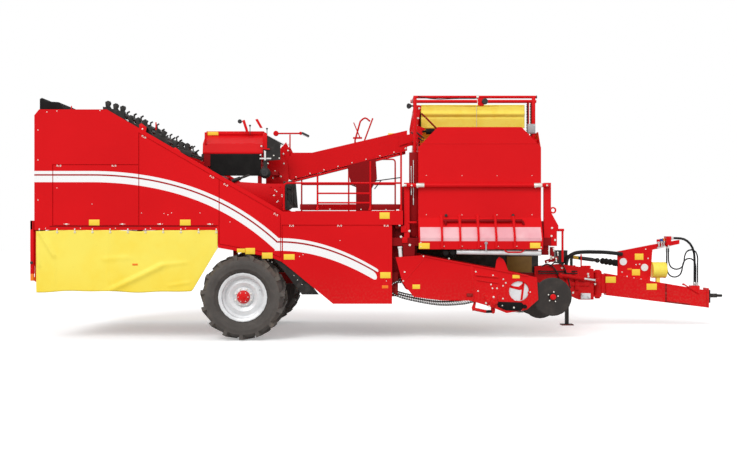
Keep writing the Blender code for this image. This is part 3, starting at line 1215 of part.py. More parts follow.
def make_pto_shaft():
    """Drive shaft's rear end on its bearing and the gearbox behind it."""
    joint = Vector(SHAFT_JOINT)
    rear = Vector((2.860, BEAM_Y, 1.190))
    ball = turned([(0.0, -0.045), (0.032, -0.032), (0.045, 0.0), (0.032, 0.032), (0.0, 0.045)],
                  joint, (0, 0, 1), 16)
    base = DECK_TOP + GAP
    pieces = [ball, rod(rear, joint, 0.028, 12),
              box(2.930, 2.970, BEAM_Y - 0.055, BEAM_Y - 0.005, base, 1.200),
              box(2.680, 2.880, BEAM_Y - 0.055, BEAM_Y + 0.100, 1.070, 1.290),
              box(2.740, 2.820, BEAM_Y - 0.050, BEAM_Y - 0.010, base, 1.100)]
    finished("pto_shaft", joined(*pieces), "black_steel", smooth=True)


def make_hose_bundle():
    """Hoses that cross the drawbar's pivot, as one bundle."""
    y = SPINE_Y0 + 0.035
    side = BEAM_Y - 0.006 - GAP - BUNDLE_R
    route = [(2.850, y, DECK_TOP + GAP), (2.850, y, 1.010), (2.850, y, 1.070),
             (2.885, y, 1.175), (2.985, y, 1.240), (3.130, y, 1.262), (3.400, y, 1.262),
             (3.520, (y + side) / 2, 1.257), (3.640, side, 1.246), (3.735, side, 1.236),
             (3.820, side, 1.225)]
    finished("hose_bundle", pipe(flowing(route, 2 * BUNDLE_R), BUNDLE_R), "black_rubber",
             smooth=True)


places = [make_wheel(*row) for row in WHEELS]
make_axle(places)
make_chassis()
make_right_side()
make_left_side()
make_rear_body()
make_haulm_strippers()
make_main_web()
make_web_channel()
make_tarps()
make_rear_lamps()
make_platform()
make_ladder()
make_rails()
make_transfer()
make_chute()
make_elevator()
make_bunker()
make_bunker_floor()
make_top_frame()
make_unloader()
make_intake()
make_coulters()
make_front_frame()
make_jack()
make_drawbar()
make_pto_shaft()
make_hose_bundle()
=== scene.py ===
# Looks of the trailed potato harvester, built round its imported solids.
# X points forward to the drawbar, Y to the machine's left and Z up, in metres.

import json
import math

import bmesh
import bpy
from mathutils import Matrix, Vector, noise
from mathutils.geometry import interpolate_bezier


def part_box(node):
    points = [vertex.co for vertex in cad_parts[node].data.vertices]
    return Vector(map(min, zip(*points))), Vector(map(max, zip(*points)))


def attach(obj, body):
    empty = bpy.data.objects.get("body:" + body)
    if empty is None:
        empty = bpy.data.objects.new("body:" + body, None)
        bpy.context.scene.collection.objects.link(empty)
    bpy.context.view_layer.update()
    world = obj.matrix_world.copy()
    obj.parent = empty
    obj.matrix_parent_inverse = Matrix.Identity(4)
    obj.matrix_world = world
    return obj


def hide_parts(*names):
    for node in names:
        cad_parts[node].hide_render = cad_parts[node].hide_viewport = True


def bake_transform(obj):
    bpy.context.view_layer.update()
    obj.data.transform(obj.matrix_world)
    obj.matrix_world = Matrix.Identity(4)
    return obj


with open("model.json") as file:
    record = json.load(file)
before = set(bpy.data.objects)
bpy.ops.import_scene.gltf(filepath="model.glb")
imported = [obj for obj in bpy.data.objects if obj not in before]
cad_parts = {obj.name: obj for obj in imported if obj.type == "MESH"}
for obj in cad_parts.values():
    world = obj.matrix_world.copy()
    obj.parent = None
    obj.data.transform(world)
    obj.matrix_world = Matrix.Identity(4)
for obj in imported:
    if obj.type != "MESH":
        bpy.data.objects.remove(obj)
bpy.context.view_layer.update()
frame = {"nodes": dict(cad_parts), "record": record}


# Camera, level and square to the machine's right side

FOCAL_PX = 993.0             # focal length in pixels of the photograph's frame
FRAME_W, FRAME_H = 737, 459
AXIS_PX = (370.0, 231.0)     # where the camera's axis meets the picture
EYE = Vector((-0.48, -16.25, 1.62))

lens = bpy.data.cameras.new("camera")
lens.sensor_width = 36.0
lens.lens = 36.0 * FOCAL_PX / FRAME_W
lens.shift_x = -(AXIS_PX[0] - FRAME_W / 2) / FRAME_W
lens.shift_y = (AXIS_PX[1] - FRAME_H / 2) / FRAME_W
camera = bpy.data.objects.new("camera", lens)
camera.location = EYE
camera.rotation_euler = (math.radians(90), 0, 0)
bpy.context.scene.collection.objects.link(camera)
bpy.context.scene.camera = camera


def seen(px, py, y):
    """The point at depth y that the photograph shows at a pixel."""
    reach = (y - EYE.y) / FOCAL_PX
    return Vector((EYE.x + (px - AXIS_PX[0]) * reach, y, EYE.z - (py - AXIS_PX[1]) * reach))


# Materials

def both_ways(operation):
    """An operator of Value, and the same one with its sides changed over."""
    return (lambda self, other: self.maths(operation, self, other),
            lambda self, other: self.maths(operation, other, self))


class Value:
    """A number worked out by nodes."""

    def __init__(self, owner, socket):
        self.owner = owner
        self.socket = socket

    def maths(self, operation, *terms):
        node = self.owner.node("Math", {"operation": operation}, dict(enumerate(terms)))
        return Value(self.owner, node.outputs[0])

    __add__, __radd__ = both_ways("ADD")
    __sub__, __rsub__ = both_ways("SUBTRACT")
    __mul__, __rmul__ = both_ways("MULTIPLY")
    __truediv__, __rtruediv__ = both_ways("DIVIDE")

    def above(self, edge):
        return self.maths("GREATER_THAN", self, edge)

    def below(self, edge):
        return self.maths("LESS_THAN", self, edge)

    def within(self, low, high):
        return self.above(low) * self.below(high)

    def at_least(self, low):
        return self.maths("MAXIMUM", self, low)

    def rise(self, low, high):
        """0 below low, 1 above high and smooth between."""
        node = self.owner.node("MapRange", {"interpolation_type": "SMOOTHSTEP"},
                               {"Value": self, "From Min": low, "From Max": high})
        return Value(self.owner, node.outputs["Result"])

    def sine(self):
        return self.maths("SINE", self)

    def size(self):
        return self.maths("ABSOLUTE", self)

    def root(self):
        return self.maths("SQRT", self)


class Nodes:
    """The nodes of a material or of the world."""

    def __init__(self, tree):
        self.tree = tree
        tree.nodes.clear()

    def node(self, kind, settings=None, sockets=None):
        made = self.tree.nodes.new("ShaderNode" + kind)
        for key, value in (settings or {}).items():
            setattr(made, key, value)
        for key, value in (sockets or {}).items():
            self.feed(made.inputs[key], value)
        return made

    def feed(self, socket, value):
        if isinstance(value, Value):
            value = value.socket
        if isinstance(value, bpy.types.NodeSocket):
            self.tree.links.new(value, socket)
        elif socket.type == "RGBA" and len(value) == 3:
            socket.default_value = (*value, 1.0)
        else:
            socket.default_value = value


class Finish(Nodes):
    """A material with one Principled shader, filled in through named sockets."""

    def __init__(self, name):
        self.material = bpy.data.materials.new(name)
        self.material.use_nodes = True
        super().__init__(self.material.node_tree)
        self.shader = self.node("BsdfPrincipled")
        self.node("OutputMaterial", None, {"Surface": self.shader.outputs[0]})
        self.object_coordinates = None

    def surface(self, **sockets):
        for name, value in sockets.items():
            label = name.replace("_", " ").title().replace("Ior", "IOR")
            self.feed(self.shader.inputs[label], value)
        return self.material

    def where(self):
        if self.object_coordinates is None:
            self.object_coordinates = self.node("TexCoord").outputs["Object"]
        return self.object_coordinates

    def parts(self, vector):
        """The three numbers of a vector."""
        split = self.node("SeparateXYZ", None, {0: vector})
        return [Value(self, split.outputs[i]) for i in range(3)]

    def axes(self):
        return self.parts(self.where())

    def facing(self):
        """The surface's own direction in the object's axes."""
        return self.parts(self.node("TexCoord").outputs["Normal"])

    def stretched(self, x, y, z):
        return self.node("Mapping", None, {"Vector": self.where(), "Scale": (x, y, z)}).outputs[0]

    def noise(self, scale, detail=2.0, roughness=0.5, at=None):
        made = self.node("TexNoise", None, {"Vector": at or self.where(), "Scale": scale,
                                            "Detail": detail, "Roughness": roughness})
        return Value(self, made.outputs["Fac"])

    def mix(self, share, first, second):
        made = self.node("Mix", {"data_type": "RGBA"}, {0: share, 6: first, 7: second})
        return made.outputs[2]

    def bump(self, height, strength, distance):
        made = self.node("Bump", None, {"Height": height, "Strength": strength,
                                        "Distance": distance})
        return made.outputs[0]


WHEEL_X = -2.36
WHEELS = {"right": (-1.35, 0.640), "left": (1.295, 0.680)}   # centre's Y, and tyre's radius
PANEL_Y = -1.500             # the right side's panels, doors and trough sheet
ON_PANEL = -1.5003           # the same with a hair's breadth, for what lies on them
BUNKER_RIBS = (0.582, 0.850, 1.119, 1.380, 1.651)

RED = (0.745, 0.0070, 0.0105)
RED_DEEP = (0.610, 0.0048, 0.0075)
# Painted shade: the machine's red, darkened as it looks on parts in shade
SHADED_RED = (0.300, 0.0050, 0.0070)
STRIPE_WHITE = (0.97, 0.97, 0.97)


def paint_base(f, colour, deep, dust):
    """Tone of sprayed paint with some dust low down, its fine grain and the dust's share."""
    z = f.axes()[2]
    drift = f.noise(1.1, 3.0)
    fine = f.noise(34.0, 4.0, 0.6)
    tone = f.mix(drift.rise(0.30, 0.75) * 0.40 + fine.rise(0.55, 0.80) * 0.10, colour, deep)
    low = (1.0 - z.rise(0.30, 1.20)) * fine.rise(0.42, 0.66) * dust
    tone = f.mix(low, tone, (0.34, 0.19, 0.13))
    return tone, fine, low


def sprayed(f, tone, roughness):
    """Gloss and orange peel of sprayed paint."""
    return f.surface(base_color=tone, roughness=roughness, metallic=0.0, specular_ior_level=0.08,
                     normal=f.bump(f.noise(240.0, 2.0), 0.10, 0.0012))


def painted(name, colour, deep, roughness=0.34, dust=0.16):
    f = Finish(name)
    tone, fine, low = paint_base(f, colour, deep, dust)
    return sprayed(f, tone, fine * 0.12 + low * 0.5 + (roughness - 0.05))


def striped_paint(name):
    """Machine red with the pair of white stripes that runs along the right side."""
    f = Finish(name)
    tone, fine, low = paint_base(f, RED, RED_DEEP, 0.14)
    x, y, z = f.axes()
    outside = y.below(PANEL_Y + 0.0015)
    # Rear arc: level at the back, then falling in a curve to the kink over the wheel
    run = (x + 4.6256).at_least(0.0)
    fall = run * run * 0.09456 + run * run * run * run * 0.004323
    steep = run * 0.18912 + run * run * run * 0.01729
    depth = (2.5115 - fall - z) / (steep * steep + 1.0).root()
    kink = (x + 1.8366) + (1.5145 - z) * 0.318
    behind = kink.below(0.0)
    stripes = (depth.within(0.0, 0.0470) + depth.within(0.0700, 0.1660)) * behind
    # Front arc: level at the kink, then falling to two rounded ends
    run = (x + 1.8170).at_least(0.0)
    below = 1.5145 - run * run * 0.2389 + run * run * run * 0.01386 - z
    for middle, half, end in ((0.0220, 0.0220, -0.378), (0.1285, 0.0595, -0.437)):
        past = (x - end).at_least(0.0)
        off = below - middle
        stripes = stripes + (past * past + off * off).below(half * half) * (1.0 - behind)
    # The gap between the two stripes gets a darker red line of painted shade
    gap_shade = (depth.within(0.0450, 0.0700) * behind
           + below.within(0.0440, 0.0690) * (1.0 - behind) * x.below(-0.385))
    tone = f.mix(gap_shade * outside * 0.75, tone, (0.30, 0.0040, 0.0070))
    white = f.mix(fine.rise(0.50, 0.85) * 0.12, STRIPE_WHITE, (0.90, 0.90, 0.89))
    return sprayed(f, f.mix(stripes * outside, tone, white), fine * 0.12 + low * 0.5 + 0.30)


def bunker_paint(name):
    """Machine red whose bent skirt catches the sky in a pale band between its ribs."""
    f = Finish(name)
    tone, fine, _ = paint_base(f, RED, RED_DEEP, 0.06)
    x, y, z = f.axes()
    band = z.rise(1.468, 1.474) * (1.0 - z.rise(1.672, 1.680)) * y.below(-1.505)
    band = band * x.within(0.262, 2.048)
    for rib in BUNKER_RIBS:
        band = band * (x - rib).size().above(0.0155)
    band = band * f.facing()[1].below(-0.5)
    cloud = f.noise(3.0, 3.0)
    pale = f.mix(cloud.rise(0.35, 0.70), (0.90, 0.55, 0.58), (0.84, 0.40, 0.45))
    return sprayed(f, f.mix(band * 0.95, tone, pale), fine * 0.12 + 0.29)


def from_axle(f, height):
    """Distance from the middle of a wheel whose centre is at a height."""
    x, _, z = f.axes()
    off_x, off_z = x - WHEEL_X, z - height
    return (off_x * off_x + off_z * off_z).root()


def hub_paint(name, height):
    """Red cap on a bare silver flange, where the wheel nuts sit."""
    f = Finish(name)
    tone, fine, _ = paint_base(f, RED, RED_DEEP, 0.10)
    flange = from_axle(f, height).rise(0.098, 0.101)
    silver = f.mix(f.noise(40.0, 3.0).rise(0.4, 0.8), (0.60, 0.61, 0.62), (0.42, 0.42, 0.42))
    return f.surface(base_color=f.mix(flange, tone, silver), roughness=fine * 0.14 + 0.28,
                     metallic=flange * 0.3, specular_ior_level=0.3,
                     normal=f.bump(f.noise(180.0, 2.0), 0.10, 0.001))


def rubber(name, colour, pale, roughness, grain):
    f = Finish(name)
    cloud = f.noise(5.0, 4.0, 0.6)
    pores = f.noise(grain, 3.0, 0.7)
    return f.surface(base_color=f.mix(cloud.rise(0.35, 0.75) * 0.6 + pores * 0.25, colour, pale),
                     roughness=pores * 0.15 + roughness, metallic=0.0, specular_ior_level=0.10,
                     normal=f.bump(pores, 0.25, 0.002))


def tyre_rubber(name, radius):
    """Warm dark rubber with moulded rings on its walls and dust in the tread."""
    f = Finish(name)
    out = from_axle(f, radius)
    cloud = f.noise(5.0, 4.0, 0.6)
    pores = f.noise(60.0, 3.0, 0.7)
    rings = (out * 330.0).sine() * out.within(0.385, 0.405)
    bead = out.rise(0.418, 0.424) * (1.0 - out.rise(0.434, 0.440))
    scrub = out.rise(radius - 0.14, radius - 0.02)
    tone = f.mix(cloud.rise(0.35, 0.75) * 0.55 + scrub * 0.45, (0.068, 0.060, 0.055),
                 (0.118, 0.104, 0.094))
    tone = f.mix((scrub * cloud.rise(0.50, 0.62)) * 0.45, tone, (0.150, 0.118, 0.088))
    return f.surface(base_color=tone, roughness=pores * 0.15 + 0.66, metallic=0.0,
                     specular_ior_level=0.3,
                     normal=f.bump(rings * 0.35 + bead * 0.6 + pores * 0.3, 0.35, 0.006))


def dark_steel(name):
    colour, pale = (0.020, 0.019, 0.018), (0.052, 0.046, 0.042)
    f = Finish(name)
    cloud = f.noise(9.0, 4.0, 0.6)
    grit = f.noise(150.0, 3.0, 0.7)
    return f.surface(base_color=f.mix(cloud.rise(0.4, 0.8), colour, pale),
                     roughness=grit * 0.2 + 0.40, metallic=0.25, specular_ior_level=0.2,
                     normal=f.bump(grit, 0.12, 0.001))


def disc_steel(name):
    """Steel of the coulters: near black, with pale streaks that lie level."""
    f = Finish(name)
    cloud = f.noise(6.0, 4.0, 0.6)
    streak = f.noise(30.0, 4.0, 0.6, f.stretched(1.0, 1.0, 6.0))
    return f.surface(base_color=f.mix(cloud.rise(0.40, 0.78) * 0.5 + streak.rise(0.5, 0.8) * 0.3,
                                      (0.026, 0.022, 0.020), (0.062, 0.050, 0.042)),
                     roughness=streak * 0.25 + 0.36, metallic=0.35, specular_ior_level=0.3,
                     normal=f.bump(streak, 0.08, 0.001))


def bright_metal(name, colour, deep, roughness, metallic):
    f = Finish(name)
    cloud = f.noise(7.0, 4.0, 0.6)
    grain = f.noise(120.0, 3.0, 0.6)
    return f.surface(base_color=f.mix(cloud.rise(0.35, 0.8) * 0.7, colour, deep),
                     roughness=grain * 0.16 + roughness, metallic=metallic,
                     normal=f.bump(grain, 0.08, 0.001))


def coated_cloth(name, colour, shade):
    """Coated tarpaulin: a fine weave under a soft sheen, greyer where it has been rubbed."""
    f = Finish(name)
    x, y, z = f.axes()
    threads = (x * 2100.0).sine() * 0.5 + (z * 2100.0).sine() * 0.5 + (y * 2100.0).sine() * 0.5
    cloud = f.noise(2.2, 4.0, 0.55)
    scuff = f.noise(14.0, 5.0, 0.65)
    low = 1.0 - z.rise(0.75, 1.25)
    tone = f.mix(cloud.rise(0.35, 0.78) * 0.45 + low * 0.35, colour, shade)
    tone = f.mix(scuff.rise(0.62, 0.80) * 0.22, tone, (0.62, 0.43, 0.10))
    return f.surface(base_color=tone, roughness=cloud * 0.12 + 0.40, metallic=0.0,
                     specular_ior_level=0.3,
                     normal=f.bump(threads * 0.4 + f.noise(26.0, 3.0) * 2.0, 0.10, 0.0012))


def plastic(name, colour, shade, roughness=0.38, grain=90.0):
    f = Finish(name)
    cloud = f.noise(8.0, 3.0, 0.6)
    return f.surface(base_color=f.mix(cloud.rise(0.35, 0.8) * 0.6, colour, shade),
                     roughness=cloud * 0.14 + roughness, metallic=0.0, specular_ior_level=0.35,
                     normal=f.bump(f.noise(grain, 2.0), 0.10, 0.0008))


def lens_glass(name, colour, shade):
    """Moulded lamp lens with fine vertical flutes."""
    f = Finish(name)
    _, y, z = f.axes()
    flutes = (y * 900.0).sine() * 0.5 + (z * 900.0).sine() * 0.5
    return f.surface(base_color=f.mix(f.noise(20.0).rise(0.4, 0.7), colour, shade),
                     roughness=f.noise(30.0) * 0.1 + 0.08, metallic=0.0, coat_weight=0.4,
                     coat_roughness=0.05, normal=f.bump(flutes, 0.15, 0.001))


finishes = {
    "red": painted("machine_red", RED, RED_DEEP),
    "striped_red": striped_paint("striped_red"),
    "bunker_red": bunker_paint("bunker_red"),
    # Machine red with painted shade, for the parts that lie in shade
    "dark_red": painted("shaded_red", SHADED_RED, (0.190, 0.0040, 0.0055), 0.44, 0.30),
    "hub_right": hub_paint("hub_right_red", WHEELS["right"][1]),
    "hub_left": hub_paint("hub_left_red", WHEELS["left"][1]),
    "black_rubber": rubber("sheet_rubber", (0.008, 0.007, 0.007), (0.018, 0.017, 0.016), 0.66,
                           90.0),
    "tyre_right": tyre_rubber("tyre_right_rubber", WHEELS["right"][1]),
    "tyre_left": tyre_rubber("tyre_left_rubber", WHEELS["left"][1]),
    "black_steel": dark_steel("blackened_steel"),
    "disc_steel": disc_steel("coulter_steel"),
    "steel": bright_metal("bare_steel", (0.58, 0.58, 0.57), (0.36, 0.35, 0.34), 0.26, 1.0),
    "zinc": bright_metal("zinc_plate", (0.74, 0.72, 0.66), (0.52, 0.50, 0.45), 0.34, 0.55),
    "rim_silver": bright_metal("rim_silver", (0.70, 0.71, 0.72), (0.55, 0.56, 0.57), 0.36, 0.30),
    "tarp_yellow": coated_cloth("tarpaulin", (1.0, 0.84, 0.120), (0.98, 0.70, 0.034)),
    "belt_yellow": plastic("belt_yellow", (1.0, 0.84, 0.120), (0.95, 0.70, 0.040), 0.40, 180.0),
    "label": plastic("label_yellow", (0.98, 0.68, 0.050), (0.95, 0.60, 0.030), 0.34),
    "orange": plastic("label_orange", (0.95, 0.22, 0.010), (0.86, 0.16, 0.008), 0.30),
    "white": plastic("white_plastic", (0.86, 0.86, 0.85), (0.74, 0.74, 0.72)),
    "grey": plastic("grey_plastic", (0.40, 0.41, 0.42), (0.28, 0.28, 0.29), 0.42),
    "ochre": plastic("scraper_board", (0.245, 0.130, 0.020), (0.165, 0.085, 0.014), 0.48, 40.0),
    "black": plastic("black_plastic", (0.016, 0.016, 0.017), (0.034, 0.034, 0.035), 0.34),
    "cable": rubber("cable_sheath", (0.013, 0.013, 0.014), (0.030, 0.030, 0.030), 0.44, 200.0),
    "blue": plastic("cap_blue", (0.020, 0.085, 0.400), (0.014, 0.060, 0.300), 0.34),
    "lamp_red": lens_glass("tail_lens", (0.55, 0.010, 0.012), (0.40, 0.006, 0.008)),
    "lamp_clear": lens_glass("work_lamp_lens", (0.72, 0.74, 0.75), (0.60, 0.62, 0.64)),
}
OWN_FINISH = {
    "side_panel_right": "striped_red", "door_rear": "striped_red", "door_mid": "striped_red",
    "door_front": "striped_red", "door_lower": "striped_red",
    "bunker_wall_right": "bunker_red", "hub_right": "hub_right", "hub_left": "hub_left",
    "tyre_right": "tyre_right", "tyre_left": "tyre_left", "coulter_right": "disc_steel",
    "coulter_middle": "disc_steel", "coulter_left": "disc_steel",
    "jack_leg": "black_steel",
}
slot_of = {row["node"]: row["material_slot"] for row in frame["record"]["subparts"]}
for node, solid in frame["nodes"].items():
    for slot in solid.material_slots:
        slot.material = finishes[OWN_FINISH.get(node, slot_of[node])]


# Ways of making a piece

def at(y, pixels):
    """The points at depth y that the photograph shows at some pixels."""
    return [seen(px, py, y) for px, py in pixels]


def cut(y, pixels):
    """A plate's outline in X and Z, from pixels at depth y."""
    return [(p.x, p.z) for p in at(y, pixels)]


def strip(a, b, width):
    """The outline of a strip that hangs under the line from a to b."""
    return [(a.x, a.z), (b.x, b.z), (b.x, b.z - width), (a.x, a.z - width)]


def shown(name, data, finish, body):
    """A new object at the origin, in its finish, that rides on a body."""
    made = bpy.data.objects.new(name, data)
    bpy.context.scene.collection.objects.link(made)
    data.materials.append(finishes[finish])
    if body:
        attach(made, body)
    return made


def rounded(mesh, edges, edge, turn):
    """Rounds those edges of a mesh that bend by more than an angle."""
    edges = [e for e in edges if e.calc_face_angle(0.0) > turn]
    if edge and edges:
        bmesh.ops.bevel(mesh, geom=edges, offset=edge, offset_type="OFFSET", affect="EDGES",
                        segments=2, profile=0.5, material=-1, clamp_overlap=True)


class Piece:
    """Shapes gathered in one mesh, which then becomes one object."""

    def __init__(self, name, finish, body="machine"):
        self.name, self.finish, self.body = name, finish, body
        self.mesh = bmesh.new()

    def block(self, low, high, edge=0.004, tilt=0.0):
        """A block between two corners, then tilted about Y where it stands."""
        low, high = Vector(low), Vector(high)
        place = (Matrix.Translation((low + high) / 2) @ Matrix.Rotation(tilt, 4, "Y")
                 @ Matrix.Diagonal((*(high - low), 1.0)))
        made = bmesh.ops.create_cube(self.mesh, size=1.0, matrix=place)["verts"]
        rounded(self.mesh, dict.fromkeys(e for v in made for e in v.link_edges), edge, 0.6)
        return self

    def block_at(self, place, low, high, edge=0.004, tilt=0.0):
        """A block whose corners are given from a place."""
        return self.block(place + Vector(low), place + Vector(high), edge, tilt)

    def rod(self, start, end, radius, sides=12, edge=0.0):
        start, end = Vector(start), Vector(end)
        along = end - start
        place = (Matrix.Translation((start + end) / 2)
                 @ along.to_track_quat("Z", "Y").to_matrix().to_4x4())
        made = bmesh.ops.create_cone(self.mesh, cap_ends=True, cap_tris=False, segments=sides,
                                     radius1=radius, radius2=radius, depth=along.length,
                                     matrix=place)["verts"]
        rounded(self.mesh, dict.fromkeys(e for v in made for e in v.link_edges), edge, 1.2)
        return self

    def rod_at(self, place, start, end, radius, sides=12, edge=0.0):
        """A rod whose ends are given from a place."""
        return self.rod(place + Vector(start), place + Vector(end), radius, sides, edge)

    def turned(self, place, axis, profile, steps=24):
        """A profile of radii and heights spun round an axis through a place."""
        place, axis = Vector(place), Vector(axis).normalized()
        side = axis.orthogonal().normalized()
        lathe = bmesh.new()
        verts = [lathe.verts.new(place + side * r + axis * h) for r, h in profile]
        edges = [lathe.edges.new(pair) for pair in zip(verts, verts[1:])]
        bmesh.ops.spin(lathe, geom=verts + edges, cent=place, axis=axis, dvec=(0, 0, 0),
                       angle=2 * math.pi, steps=steps, use_merge=True, use_duplicate=False)
        bmesh.ops.remove_doubles(lathe, verts=lathe.verts, dist=1e-5)
        bmesh.ops.recalc_face_normals(lathe, faces=lathe.faces)
        return self.add(lathe)

    def plate(self, outline, start, end, edge=0.003):
        """A sheet that lies across Y, cut to an outline in X and Z."""
        sheet = bmesh.new()
        face = sheet.faces.new([sheet.verts.new((x, start, z)) for x, z in outline])
        grown = bmesh.ops.extrude_face_region(sheet, geom=[face])["geom"]
        bmesh.ops.translate(sheet, verts=[g for g in grown if isinstance(g, bmesh.types.BMVert)],
                            vec=(0.0, end - start, 0.0))
        bmesh.ops.recalc_face_normals(sheet, faces=sheet.faces)
        rounded(sheet, sheet.edges, edge, 0.6)
        return self.add(sheet)

    def bolts(self, places, size=0.009, out=(0, -1, 0)):
        """Hexagon heads on washers, standing out from a sheet."""
        out = Vector(out).normalized()
        for place in places:
            place = Vector(place)
            self.rod(place, place + out * size * 0.28, size * 1.30, 12)
            self.rod(place + out * size * 0.28, place + out * size * 1.0, size, 6, size * 0.15)
        return self

    def add(self, other):
        data = bpy.data.meshes.new("part")
        other.to_mesh(data)
        other.free()
        self.mesh.from_mesh(data)
        bpy.data.meshes.remove(data)
        return self

    def done(self):
        data = smooth_mesh(self.name, self.mesh)
        data.set_sharp_from_angle(angle=math.radians(32.0))
        return shown(self.name, data, self.finish, self.body)


def smooth_mesh(name, made):
    """Mesh data with smooth faces, from a bmesh that ends here."""
    data = bpy.data.meshes.new(name)
    made.to_mesh(data)
    made.free()
    data.polygons.foreach_set("use_smooth", [True] * len(data.polygons))
    return data


def cloth(name, columns, rows, place, finish, body, thickness):
    """A sheet of cloth: a grid whose points a function puts in place."""
    grid = bmesh.new()
    bmesh.ops.create_grid(grid, x_segments=columns, y_segments=rows, size=0.5)
    for vertex in grid.verts:
        vertex.co = place(vertex.co.x + 0.5, vertex.co.y + 0.5)
    bmesh.ops.recalc_face_normals(grid, faces=grid.faces)
    made = shown(name, smooth_mesh(name, grid), finish, body)
    wall = made.modifiers.new("thickness", "SOLIDIFY")
    wall.thickness = thickness
    wall.offset = 0.0
    return made


def flowing(route, spacing):
    """Points a spacing apart on a smooth curve through a route."""
    route = [Vector(p) for p in route]
    ends = [2 * route[0] - route[1], *route, 2 * route[-1] - route[-2]]
    points = [route[0]]
    for before, here, after, beyond in zip(ends, ends[1:], ends[2:], ends[3:]):
        reach = (after - here).length / 3
        count = max(1, round(3 * reach / spacing))
        points += interpolate_bezier(here, here + (after - before).normalized() * reach,
                                     after - (beyond - here).normalized() * reach,
                                     after, count + 1)[1:]
    return points


def line(name, points, radius, finish, body="machine", ribs=0.0):
    """A round hose, cable or bent bar along points, ribbed where ribs is above 0."""
    data = bpy.data.curves.new(name, "CURVE")
    data.dimensions = "3D"
    data.bevel_depth = radius
    data.bevel_resolution = 3
    data.use_fill_caps = True
    spline = data.splines.new("POLY")
    spline.points.add(len(points) - 1)
    for index, (target, place) in enumerate(zip(spline.points, points)):
        target.co = (*place, 1.0)
        target.radius = 1.0 - ribs * (index % 2)
    spline.use_smooth = True
    return shown(name, data, finish, body)


def as_mesh(made):
    """The same piece with its curve turned into a mesh."""
    bpy.context.view_layer.update()
    data = bpy.data.meshes.new_from_object(made)
    name, finish = made.name, made.data.materials[0]
    curve = made.data
    bpy.data.objects.remove(made)
    bpy.data.curves.remove(curve)
    solid = bpy.data.objects.new(name, data)
    bpy.context.scene.collection.objects.link(solid)
    if not data.materials:
        data.materials.append(finish)
    return solid


# Hoses of the drawbar

BEAM_Y = 0.70                # middle of the drawbar's beam and of the power shaft

# Name, radius, offset from the middle of the beam, real length, and the route in X and Z
FRONT_HOSES = (
    ("bundle", 0.020, 0.0, 1.10,
     ((5.060, 0.6903), (5.060, 0.850), (5.060, 1.100), (5.045, 1.270),
      (4.985, 1.400), (4.880, 1.480), (4.760, 1.497), (4.6403, 1.497))),
    ("upper", 0.012, -0.050, 1.61,
     ((5.095, 0.6903), (5.095, 0.850), (5.095, 1.050), (5.093, 1.180),
      (5.060, 1.268), (4.985, 1.300), (4.910, 1.268), (4.875, 1.190), (4.862, 1.090),
      (4.825, 1.005), (4.735, 0.970), (4.645, 1.005), (4.606, 1.090), (4.600, 1.220),
      (4.600, 1.3797))),
    ("lower", 0.012, 0.050, 1.59,
     ((5.095, 0.6903), (5.095, 0.850), (5.093, 1.030), (5.060, 1.118),
      (4.985, 1.150), (4.910, 1.118), (4.873, 1.035), (4.860, 0.950), (4.822, 0.868),
      (4.733, 0.832), (4.645, 0.868), (4.606, 0.960), (4.600, 1.120), (4.600, 1.250),
      (4.600, 1.3797))),
)


def crimp(name, radius, start, out):
    """The pressed ferrule and nut at the end of a hose."""
    start, out = Vector(start), Vector(out).normalized()
    fitting = Piece(name, "steel", "drawbar_body")
    fitting.turned(start, out, [(0.0, 0.0004), (radius * 1.30, 0.0004), (radius * 1.32, 0.010),
                                (radius * 1.16, 0.013), (radius * 1.16, 0.020),
                                (radius * 1.26, 0.023), (radius * 1.26, 0.048),
                                (radius * 1.10, 0.056), (radius * 1.02, 0.056),
                                (radius * 1.02, 0.050), (0.0, 0.050)], 16)
    fitting.rod(start + out * 0.0004, start + out * 0.009, radius * 1.5, 6, 0.001)
    return fitting.done()


for name, radius, offset, length, route in FRONT_HOSES:
    points = flowing([(x, BEAM_Y + offset, z) for x, z in route], 3 * radius)
    hose = line(f"front_hose_{name}", points, radius, "cable", "drawbar_body")
    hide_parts(f"hose_front_{name}")
    leaving, entering = points[1] - points[0], points[-2] - points[-1]
    ends = [crimp(f"hose_{name}_foot_crimp", radius, points[0] - leaving.normalized() * 0.0002,
                  leaving),
            crimp(f"hose_{name}_head_crimp", radius, points[-1] - entering.normalized() * 0.0002,
                  entering)]

# The thick pack of hoses between the front frame and the stand, in its ribbed sleeve
SLEEVE = ((2.850, 0.595, 0.9653), (2.850, 0.595, 1.010), (2.850, 0.595, 1.070),
          (2.885, 0.595, 1.175), (2.985, 0.595, 1.240), (3.130, 0.595, 1.262),
          (3.400, 0.595, 1.262), (3.520, 0.6281, 1.257), (3.640, 0.6612, 1.246),
          (3.735, 0.6612, 1.236), (3.820, 0.6612, 1.225))
sleeve = as_mesh(line("hose_pack_sleeve", flowing(SLEEVE, 0.009), 0.0325, "cable", None, 0.10))
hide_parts("hose_bundle")
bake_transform(sleeve)


# Yellow tarpaulin round the rear

CLOTH_TOP = 1.6345
CLOTH_FOOT = 0.718
CLOTH_RUN = ((-2.7435, -1.492), (-5.4505, -1.492), (-5.4505, 1.492), (-3.2200, 1.492))
CLOTH_LENGTHS = [math.dist(a, b) for a, b in zip(CLOTH_RUN, CLOTH_RUN[1:])]
CLOTH_LENGTH = sum(CLOTH_LENGTHS)
FRONT_SLANT = (0.383, 1.365)     # length and top of the cut at the right side's front corner
LEFT_SLANT = (0.480, 1.300)      # and of the one at the left side's
CLIP_STEP = 0.257
CORNER = 0.030


